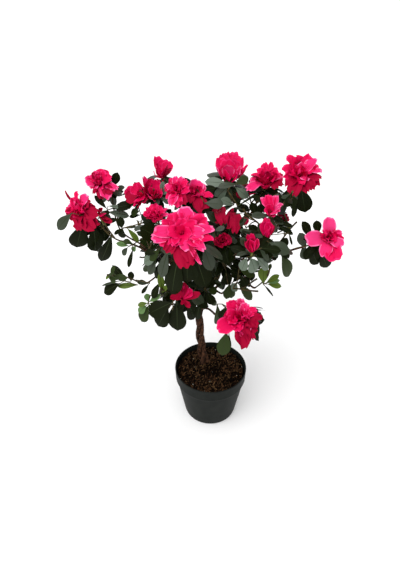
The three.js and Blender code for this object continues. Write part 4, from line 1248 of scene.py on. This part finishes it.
def petal_grid(base, axis, turn, length, width, bend, shape, keys):
    """A petal whose middle line leaves the base near the axis and bends away, with ruffled, cupped sides."""
    p, frill = shape["inward"], shape["frill"]
    v = np.linspace(0, 1, PETAL["rows"])[:, None]
    u = np.linspace(-1, 1, PETAL["cols"])[None, :]
    radial = ring_point(np.zeros(3), square_to(axis), 1, turn)
    across = np.cross(axis, radial)
    phase = ROUND * chance(*keys, 5)

    corners = shape["point"] * np.abs(u) ** PETAL["point_power"]
    corners = corners + PETAL["corner"] * np.abs(u) ** PETAL["corner_power"]
    lobes = PETAL["lobe"] * np.sin(mix(*PETAL["lobes"], chance(*keys, 7)) * u + phase)
    s = v * (1 - (corners + lobes) * v**2)

    fine = np.linspace(0, 1, PETAL["fine"])
    wave = PETAL["wave"] * (chance(*keys, 8) - PETAL["wave_middle"]) * np.sin(2 * math.pi * fine + phase)
    slope = mix(*bend, fine ** PETAL["late"]) + wave * fine
    out = np.concatenate([[0], np.cumsum(np.sin(slope[1:]))]) / (PETAL["fine"] - 1)
    rise = np.concatenate([[0], np.cumsum(np.cos(slope[1:]))]) / (PETAL["fine"] - 1)
    tilt = np.interp(s, fine, slope)[..., None]
    tangent = np.sin(tilt) * radial + np.cos(tilt) * axis
    upper = -np.cos(tilt) * radial + np.sin(tilt) * axis
    twist = (mix(*PETAL["twist"], p) * (chance(*keys, 6) - 0.5) * s)[..., None]
    side = np.cos(twist) * across + np.sin(twist) * upper
    upper = np.cross(side, tangent) * -1

    swell = np.sin(0.5 * math.pi * np.clip(s / PETAL["full_at"], 0, 1)) ** PETAL["swell"]
    half = 0.5 * width * mix(PETAL["root"], 1, swell)
    late = np.clip((s - PETAL["narrow_at"]) / (1 - PETAL["narrow_at"]), 0, 1)
    half = half * (1 - PETAL["narrowing"] * late**2)
    bow = np.maximum(shape["cup"] * (1 - PETAL["opening"] * s * (1 - p)) / width, 1e-4)
    aside = np.sin(bow * half * u) / bow
    cupped = (1 - np.cos(bow * half * u)) / bow

    waves = mix(*RUFFLE["waves"], chance(*keys, 4))
    sway = np.sin(waves * math.pi * v + phase + np.where(u > 0, RUFFLE["differ"], 0.0))
    ruffle = length * frill * v ** RUFFLE["along"] * np.abs(u) ** RUFFLE["aside"] * sway
    edge_waves = mix(*RUFFLE["edge_waves"], chance(*keys, 9))
    edge = length * RUFFLE["edge"] * frill * v**3 * np.sin(edge_waves * u + phase)
    veins = length * VEINS["high"] * np.cos(VEINS["many"] * u) * np.sin(math.pi * v)
    fold = length * FOLD["deep"] * (chance(*keys, 10) - FOLD["middle"])
    fold = fold * np.exp(-FOLD["narrow"] * u * u) * np.sin(0.5 * math.pi * v)

    course = np.interp(s, fine, out)[..., None] * radial + np.interp(s, fine, rise)[..., None] * axis
    middle = base + PETAL["gap"] * length * radial + length * course
    return middle + aside[..., None] * side + (cupped + ruffle + edge + veins - fold)[..., None] * upper


def add_petal(kinds, grid, tone):
    """A paler rim, partly painted highlight, takes the petal's outer rows and the upper part of its sides."""
    middle, rim = TONES[tone]
    if not rim:
        kinds[middle].add_grid(grid)
        return
    up = PETAL["rows"] // 2
    kinds[middle].add_grid(grid[:-1, 1:-1])
    kinds[middle].add_grid(grid[: up + 1, :2])
    kinds[middle].add_grid(grid[: up + 1, -2:])
    kinds[rim].add_grid(grid[up:-1, :2])
    kinds[rim].add_grid(grid[up:-1, -2:])
    kinds[rim].add_grid(grid[-2:])


def grow_bloom(b, told, tip, keys, kinds):
    """Petals stand a set turn apart, the outer ones longer and bent further away from the axis."""
    radius = 0.5 * b["width"] * b["full"]
    axis, form = facing(*b["face"]), FORMS[b["form"]]
    base = b["at"] + b["moved"] - axis * bloom_depth(b)
    if told:
        base = seen_at(*told[0], base[1])
        radius *= TOLD["heart"]
        add_told_petals(told, form, base, axis, keys, kinds)
    add_heart(base, axis, radius, kinds)
    grow_petals(b, base, axis, radius, form["count"][0] if told else 0, keys, kinds)
    add_calyx(tip, base, axis, kinds)


def add_heart(base, axis, radius, kinds):
    """A small cup in the deep petal colour closes the middle of a bloom: painted shade in its heart."""
    turns, square = ring_of(HEART["sides"]), square_to(axis)
    ring = np.cos(turns)[:, None] * square[0] + np.sin(turns)[:, None] * square[1]
    rows = [base + radius * (ring * out + axis * height) for out, height in HEART["cup"]]
    kinds["petals_painted_shade"].add_grid(np.array(rows), around=True)


def add_told_petals(told, form, base, axis, keys, kinds):
    """Each petal leaves the foot near the axis and bends out, so that its tip shows at its told place."""
    _, height, petals = told
    square = square_to(axis)
    shape = {"inward": TOLD["inward"], "frill": form["frill"] * TOLD["frill"], "point": 0, "cup": TOLD["cup"]}
    for n, (u, v, width, tone) in enumerate(petals):
        rise = height * mix(*TOLD["rise"], chance(*keys, n, 46))
        reach = seen_on(u, v, base + axis * rise, axis) - base
        out = reach - axis * (reach @ axis)
        turn = math.atan2(out @ square[1], out @ square[0])
        chord = math.atan2(np.linalg.norm(out), rise)
        curl = min(TOLD["curl"], TOLD["most"] * chord)
        if form["bend"][0] < TOLD["limit"]:
            curl = -TOLD["rising"]
        length = np.linalg.norm(reach) * curl / math.sin(curl)
        wide = width * np.linalg.norm(base - EYE) / FOCAL * TOLD["broad"]
        bend = (chord - curl, chord + curl)
        add_petal(kinds, petal_grid(base, axis, turn, length, wide, bend, shape, (*keys, n, 9)), tone)


def grow_petals(b, base, axis, radius, skip, keys, kinds):
    """The petals that a bloom has by rule. Where the outer ones are told, they are skipped."""
    form, bud = FORMS[b["form"]], b["form"] == "bud"
    square = square_to(axis)
    down = axis * axis[2] - UP
    outer, total = form["count"][0], sum(form["count"])
    full = BUD["bend"] if bud else mix(*OPENING["bend"], b["open"])
    loose = BUD["loose"] if bud else mix(*OPENING["loose"], b["open"])
    wide, narrow = (math.radians(x) * full for x in form["bend"])
    first = ROUND * chance(*keys, 40)
    for n in range(skip, total):
        p = n / (total - 1)
        turn = first + GOLDEN_TURN * n + VARIED["turn"] * (chance(*keys, n, 41) - 0.5)
        out = ring_point(np.zeros(3), square, 1, turn)
        hang = max(0.0, out @ down) * (1 - p) if b["form"] == "drooping" else 0.0
        finish = mix(wide, narrow, p ** INWARD["power"]) + loose * (chance(*keys, n, 44) - 0.5)
        finish += VARIED["hang"] * hang
        start = mix(*INWARD["start"], p) * max(START[0], min(finish, START[1]))
        length = radius * mix(*form["long"], p) * mix(*VARIED["long"], chance(*keys, n, 42))
        length *= 1 + VARIED["hang_long"] * hang
        width = length * form["wide"] * mix(*INWARD["wide"], p) * mix(*VARIED["wide"], chance(*keys, n, 45))
        shape = {"inward": p, "frill": form["frill"] * mix(*INWARD["frill"], p), "point": form["point"]}
        shape["cup"] = BUD["cup"] if bud else mix(*INWARD["cup"], p)
        root = base + out * radius * HEART["ring"] * math.sin(math.pi * p) * b["open"]
        grid = petal_grid(root, axis, turn, length, width, (start, finish), shape, (*keys, n))
        add_petal(kinds, grid, petal_tone(b["tone"], n < outer, chance(*keys, n, 43)))


def petal_tone(tone, outer, pick):
    """The first of the tones whose share lies above the pick."""
    tones = PICKS[tone][0 if outer else 1]
    return next(name for share, name in tones if pick < share)


def add_calyx(tip, base, axis, kinds):
    """A short flower stalk that widens into the base of the bloom."""
    start = tip["at"] - tip["axis"]
    course = bent_curve(start, toward(start, base), base - axis, axis, TWIG["grip"])

    def radius_at(t):
        return CALYX["radius"] + CALYX["widening"] * t**3

    add_tube(kinds["calyx"], Limb("calyx", course, course, radius_at, TWIG["steps"]), **TUBES["calyx"])


def grow_blooms(sprays, kinds):
    """The blooms stand on the first tips of their spray, in the same order as what is told of them."""
    for part in sprays:
        told = told_of(PETALS_SEEN, part["name"])
        for k, tip in enumerate(part["tips"]):
            if tip["bloom"]:
                grow_bloom(tip["bloom"], told[k] if k < len(told) else None, tip, (part["index"], k), kinds)


# Materials


def linear(r, g, b):
    """A colour in sRGB bytes as Blender's linear numbers."""
    return tuple((c / 255 / 12.92) if c <= 10 else ((c / 255 + 0.055) / 1.055) ** 2.4 for c in (r, g, b))


def plain(name, colour, roughness, specular):
    """One colour all over."""
    made = bpy.data.materials.new(name)
    made.use_nodes = True
    shader = made.node_tree.nodes["Principled BSDF"]
    shader.inputs["Base Color"].default_value = (*linear(*colour), 1)
    shader.inputs["Roughness"].default_value = roughness
    shader.inputs["Specular IOR Level"].default_value = specular
    return made


# The detail of a grainy finish's clouds and grain, the shares at which its colours are pure, and the
# grain's depth
GRAIN = {"clouds": 4, "grain": 3, "pure": (0.38, 0.66), "deep": 0.5 * MM}


def noise(tree, place, scale, detail):
    made = tree.nodes.new("ShaderNodeTexNoise")
    made.inputs["Scale"].default_value = scale
    made.inputs["Detail"].default_value = detail
    tree.links.new(place.outputs["Object"], made.inputs["Vector"])
    return made.outputs["Fac"]


def grainy(name, colour, other, roughness, specular, scale, bump, fine):
    """A colour clouded with another one, with a fine grain in its relief."""
    made = plain(name, colour, roughness, specular)
    tree = made.node_tree
    shader = tree.nodes["Principled BSDF"]
    place = tree.nodes.new("ShaderNodeTexCoord")
    ramp = tree.nodes.new("ShaderNodeValToRGB")
    for stop, where, shade in zip(ramp.color_ramp.elements, GRAIN["pure"], (colour, other)):
        stop.position = where
        stop.color = (*linear(*shade), 1)
    tree.links.new(noise(tree, place, scale, GRAIN["clouds"]), ramp.inputs["Fac"])
    tree.links.new(ramp.outputs["Color"], shader.inputs["Base Color"])
    relief = tree.nodes.new("ShaderNodeBump")
    relief.inputs["Strength"].default_value = bump
    relief.inputs["Distance"].default_value = GRAIN["deep"]
    tree.links.new(noise(tree, place, fine, GRAIN["grain"]), relief.inputs["Height"])
    tree.links.new(relief.outputs["Normal"], shader.inputs["Normal"])
    return made


FINISHES = {
    "pot": grainy("pot_plastic", (20, 23, 21), (27, 30, 27), 0.55, 0.08, 60, 0.1, 1500),
    "soil": grainy("potting_mix", (6, 4, 3), (24, 15, 9), 0.95, 0.02, 300, 0.6, 1800),
    "chips": grainy("bark_chips", (30, 18, 10), (72, 48, 29), 0.9, 0.05, 250, 0.5, 1500),
    "fibres": plain("fibres", (98, 74, 48), 0.9, 0.05),
    "perlite": plain("perlite", (190, 184, 170), 0.9, 0.1),
    "bark": grainy("bark", (24, 14, 9), (84, 55, 38), 0.85, 0.1, 260, 0.5, 1600),
    "twigs": grainy("twig_bark", (52, 40, 22), (84, 74, 38), 0.75, 0.2, 260, 0.4, 1600),
    "dark": plain("leaf_dark", (17, 23, 4), 0.42, 0.05),
    # The sheen green and the pale grey-green below it are painted sheen: lighter greens for the sky's
    # reflection
    "sheen": plain("leaf_sheen", (42, 52, 34), 0.36, 0.3),
    "pale_sheen": plain("leaf_pale_sheen", (92, 106, 90), 0.36, 0.35),
    "olive": plain("leaf_olive", (38, 52, 15), 0.45, 0.12),
    "fresh": plain("leaf_fresh", (84, 104, 34), 0.5, 0.15),
    "young": plain("leaf_young", (90, 120, 70), 0.5, 0.15),
    "midribs": plain("midribs", (42, 52, 26), 0.55, 0.1),
    # Petal colours: deep is painted shade, and pale and rim are partly paler edges and partly painted
    # highlight
    "petals_bright": plain("petals_bright", (214, 4, 78), 0.6, 0.1),
    "petals_pale": plain("petals_pale", (228, 38, 108), 0.6, 0.1),
    "petals_rim_and_highlight": plain("petals_rim_and_highlight", (243, 106, 160), 0.6, 0.1),
    "petals_rosy": plain("petals_rosy", (224, 52, 118), 0.6, 0.1),
    "petals_painted_shade": plain("petals_painted_shade", (158, 0, 46), 0.65, 0.08),
    "calyx": plain("calyx", (92, 96, 42), 0.6, 0.2),
}


# Pot


def lathe(profile, sides):
    """Rings round the pot's middle, one for each radius and height."""
    turns = ring_of(sides)
    ring = np.stack([np.cos(turns), np.sin(turns), np.zeros(sides)], axis=1)
    return np.array([ring * r + UP * z for r, z in profile])


def arc(middle, radius, start, finish, count):
    """Points of an arc between two bearings in degrees."""
    angles = np.radians(np.linspace(start, finish, count))
    return [(middle[0] + radius * math.cos(a), middle[1] + radius * math.sin(a)) for a in angles]


def build_pot():
    """Its outline goes from the underside's middle up to the rim, and down inside to the floor's middle."""
    rim, top, floor, wall, edge = (POT[name] for name in ("rim", "height", "floor", "wall", "edge"))
    step, collar, lip = POT["step_round"], POT["collar_round"], POT["rim_round"]
    under = top - POT["collar"]

    def body(z):
        return mix(POT["base"], rim - POT["step"], z / under)

    profile = [(r, 0.0) for r in (POT["middle"], 12, 24, 36)]
    profile += arc((body(0) - edge, edge), edge, -90, 5, 7)
    profile += [(body(z), z) for z in np.linspace(6, under - 2.2, 22)]
    profile += arc((body(under) + step, under - step), step, 180, 100, 4)
    profile += arc((rim - 2 * collar, under + collar), collar, -80, 0, 5)
    profile += [(mix(rim - collar, rim - 0.2, t), mix(under + 2, top - 2.4, t)) for t in (0, 0.5, 1)]
    profile += arc((rim - lip, top - lip), lip, 0, 180, 8)
    profile += [(rim - wall - 0.4, top - 4), (rim - 1 - wall, under + wall)]
    profile += [(body(z) - wall, height) for z, height in ((under, under - wall), (20, 20), (floor, floor))]
    profile += [(20, floor), (POT["middle"], floor)]
    kind = Kind("pot_shell")
    kind.add_grid(lathe(profile, POT["sides"]), around=True)
    kind.build(FINISHES["pot"], "pot", ["pot"])


# Soil

# Lumps on it: their finish, how many, their sizes, flatness and greatest length, and if they lie in patches
LUMPS = {
    "soil_clods": ("soil", 1100, (0.8, 2.6), 0.8, 1.6, False),
    "soil_chips": ("chips", 620, (0.6, 2.4), 0.35, 2.6, True),
    "soil_perlite": ("perlite", 26, (0.5, 1.1), 0.8, 1.3, False),
}
# Strands on it: their finish, how many, their lengths and half widths
STRANDS = {
    "soil_fibres": ("fibres", 520, (3, 13), (0.2, 0.5)),
    "soil_shreds": ("chips", 420, (4, 16), (0.4, 1.0)),
}
# How a lump's corners vary, how high it lies for its size, the flatness over which it turns any way, and how
# far a flatter one tips
LUMP = {"vary": (0.75, 1.25), "raised": 0.25, "turning": 0.5, "tip": 0.35}
# A strand's pieces, how much it bends at each, how high it lies and waves, and its middle ridge
STRAND = {"pieces": 6, "bend": 0.16, "raised": 0.9, "wave": 0.8, "waves": 40, "ridge": 0.3}


def ball_points():
    """A ball of twelve points and twenty triangles."""
    g = (1 + math.sqrt(5)) / 2
    corners = [(-1, g, 0), (1, g, 0), (-1, -g, 0), (1, -g, 0), (0, -1, g), (0, 1, g), (0, -1, -g), (0, 1, -g)]
    corners += [(g, 0, -1), (g, 0, 1), (-g, 0, -1), (-g, 0, 1)]
    faces = [(0, 11, 5), (0, 5, 1), (0, 1, 7), (0, 7, 10), (0, 10, 11), (1, 5, 9), (5, 11, 4), (11, 10, 2)]
    faces += [(10, 7, 6), (7, 1, 8), (3, 9, 4), (3, 4, 2), (3, 2, 6), (3, 6, 8), (3, 8, 9), (4, 9, 5)]
    faces += [(2, 4, 11), (6, 2, 10), (8, 6, 7), (9, 8, 1)]
    return np.array(corners) / np.linalg.norm(corners[0]), np.array(faces)


def soil_height(x, y):
    """The soil's top, level in the middle and lower at the wall, with clods."""
    r = np.hypot(x, y)
    drop = SOIL["edge_drop"] * np.clip((r - SOIL["flat"]) / (SOIL["reach"] - SOIL["flat"]), 0, 1)
    clods = 0.9 * np.sin(0.31 * x + 1.0) * np.sin(0.27 * y + 0.4) + 0.6 * np.sin(0.83 * x - 0.35 * y + 2)
    clods = clods + 0.45 * np.sin(0.71 * y + 1.3 * x) + 0.35 * np.sin(1.9 * x + 0.4) * np.sin(2.1 * y + 1.1)
    return SOIL["top"] - SOIL["lower"] - drop + clods


def soil_spot(rng, reach):
    """A place within a circle, as likely in one part of it as in another."""
    r, turn = reach * math.sqrt(rng.random()), 2 * math.pi * rng.random()
    return r * math.cos(turn), r * math.sin(turn)


def litter_share(x, y):
    """Bark and fibres lie thicker behind the trunk and toward the wall than in the middle."""
    patches = math.sin(0.11 * x + 1.2) * math.sin(0.13 * y - 0.6) + 0.4 * math.sin(0.29 * x - 0.21 * y)
    return 0.25 + 0.45 * math.hypot(x, y) / SOIL["reach"] + 0.25 * (y > 12) + 0.35 * patches


def scatter(name, finish, rng, count, sizes, flat, long, patchy):
    """Small lumps or chips on the soil. Flat ones lie nearly level."""
    points, faces = ball_points()
    kind = Kind(name)
    for _ in range(count):
        x, y = soil_spot(rng, SOIL["litter"])
        size = mix(*sizes, rng.random() ** 2)
        stretch = np.array([rng.uniform(1, long), 1, flat])
        shape = points * rng.uniform(*LUMP["vary"], (len(points), 1)) * size * stretch
        turn = np.linalg.qr(rng.normal(size=(3, 3)))[0] if flat > LUMP["turning"] else spun(rng)
        if patchy and rng.random() > litter_share(x, y):
            continue
        at = np.array([x, y, float(soil_height(x, y)) + LUMP["raised"] * size])
        kind.add(at + shape @ turn.T, faces)
    kind.build(FINISHES[finish], "soil", [])


def strew(name, finish, rng, count, lengths, halves):
    """Peat fibres and shreds of bark, as narrow bent strips."""
    kind = Kind(name)
    for _ in range(count):
        x, y = soil_spot(rng, SOIL["fibres"])
        heading, bend = 2 * math.pi * rng.random(), rng.normal(0, STRAND["bend"])
        length, half, skip = rng.uniform(*lengths), rng.uniform(*halves), rng.random()
        if skip > litter_share(x, y):
            continue
        pieces, strip = STRAND["pieces"], []
        for step in range(pieces + 1):
            angle = heading + bend * step
            x, y = x + math.cos(angle) * length / pieces, y + math.sin(angle) * length / pieces
            inside = min(1, SOIL["litter"] / math.hypot(x, y))
            x, y = x * inside, y * inside
            side = np.array([-math.sin(angle), math.cos(angle), 0]) * half
            wave = STRAND["wave"] * math.sin(step + bend * STRAND["waves"])
            top = np.array([x, y, float(soil_height(x, y)) + STRAND["raised"] + wave])
            strip.append([top - side, top + UP * STRAND["ridge"], top + side])
        kind.add_grid(np.array(strip))
    kind.build(FINISHES[finish], "soil", [])


def build_soil():
    rng = np.random.default_rng(SOIL["seed"])
    turns = ring_of(SOIL["sides"])
    rows = []
    for r in np.linspace(SOIL["outer"], SOIL["inner"], SOIL["rings"]):
        x, y = r * np.cos(turns), r * np.sin(turns)
        rows.append(np.stack([x, y, soil_height(x, y) + rng.normal(0, SOIL["rough"], len(turns))], axis=1))
    kind = Kind("soil_top")
    kind.add_grid(np.array(rows), around=True)
    kind.build(FINISHES["soil"], "soil", ["soil"])
    for name, (finish, *numbers) in LUMPS.items():
        scatter(name, finish, rng, *numbers)
    for name, (finish, *numbers) in STRANDS.items():
        strew(name, finish, rng, *numbers)


def spun(rng):
    """A turn that leaves a flat thing nearly level."""
    a, tip = 2 * math.pi * rng.random(), rng.normal(0, LUMP["tip"])
    flat = np.array([[math.cos(a), -math.sin(a), 0], [math.sin(a), math.cos(a), 0], [0, 0, 1]])
    lean = np.array([[1, 0, 0], [0, math.cos(tip), -math.sin(tip)], [0, math.sin(tip), math.cos(tip)]])
    return flat @ lean


# The stage: floor, light and camera


def build_stage():
    """A wide pale floor."""
    far, shade = FLOOR["half"], FLOOR["shade"]
    corners = [(-far, -far, 0), (far, -far, 0), (far, far, 0), (-far, far, 0)]
    mesh = bpy.data.meshes.new("floor")
    mesh.from_pydata(corners, [], [(0, 1, 2, 3)])
    paper = bpy.data.materials.new("floor_paper")
    paper.use_nodes = True
    shader = paper.node_tree.nodes["Principled BSDF"]
    shader.inputs["Base Color"].default_value = (shade, shade, shade, 1)
    shader.inputs["Roughness"].default_value = FLOOR["roughness"]
    mesh.materials.append(paper)
    put("floor", mesh)


def build_light():
    """A white sky all round, and a broad soft light from high on the left."""
    world = bpy.data.worlds.new("soft_studio")
    world.use_nodes = True
    sky = world.node_tree.nodes["Background"]
    sky.inputs["Color"].default_value = (1, 1, 1, 1)
    sky.inputs["Strength"].default_value = LIGHT["sky"]
    bpy.context.scene.world = world
    light = bpy.data.lights.new("key", "SUN")
    light.angle = math.radians(LIGHT["softness"])
    light.energy = LIGHT["key"]
    lamp = put("key", light)
    lamp.rotation_euler = [math.radians(turn) for turn in LIGHT["turn"]]
    bpy.context.scene.view_settings.view_transform = "Standard"


def build_camera():
    lens = bpy.data.cameras.new("camera")
    lens.lens = CAMERA["lens"]
    lens.sensor_width = CAMERA["sensor"]
    lens.clip_end = CAMERA["sees_to"]
    camera = put("camera", lens)
    camera.location = [x * MM for x in CAMERA["at"]]
    camera.rotation_euler = (math.radians(CAMERA["tilt"]), 0, 0)
    bpy.context.scene.camera = camera


# The plant

build_camera()
build_stage()
build_light()
build_pot()
build_soil()

stems = grow_stems()
boughs = grow_boughs(stems)
sprays = grow_sprays(boughs)
room = Room(sprays, [*stems, *boughs])
spray_nodes = [f"spray_{part['name']}" for part in SPRAYS]

for k, stem in enumerate(stems):
    kind = Kind(f"trunk_{k + 1}")
    add_tube(kind, stem, seed=k, **TUBES["trunk"])
    kind.build(FINISHES["bark"], "bark", [stem.name])
kind = Kind("boughs")
for k, bough in enumerate(boughs):
    add_tube(kind, bough, seed=20 + k, **TUBES["bough"])
kind.build(FINISHES["bark"], "bark", [bough.name for bough in boughs])

twigs = Kind("twigs")
greens = ("dark", "sheen", "pale_sheen", "olive", "fresh", "young", "midribs")
pinks = ("petals_bright", "petals_pale", "petals_rim_and_highlight", "petals_rosy", "petals_painted_shade", "calyx")
kinds = {name: Kind(f"leaves_{name}" if name in greens else name) for name in greens + pinks}
grow_leaves(sprays, room, kinds, twigs)
grow_seen(sprays, kinds, twigs)
grow_blooms(sprays, kinds)
twigs.build(FINISHES["twigs"], "bark", spray_nodes)
for name, kind in kinds.items():
    kind.build(FINISHES[name], "foliage", spray_nodes)
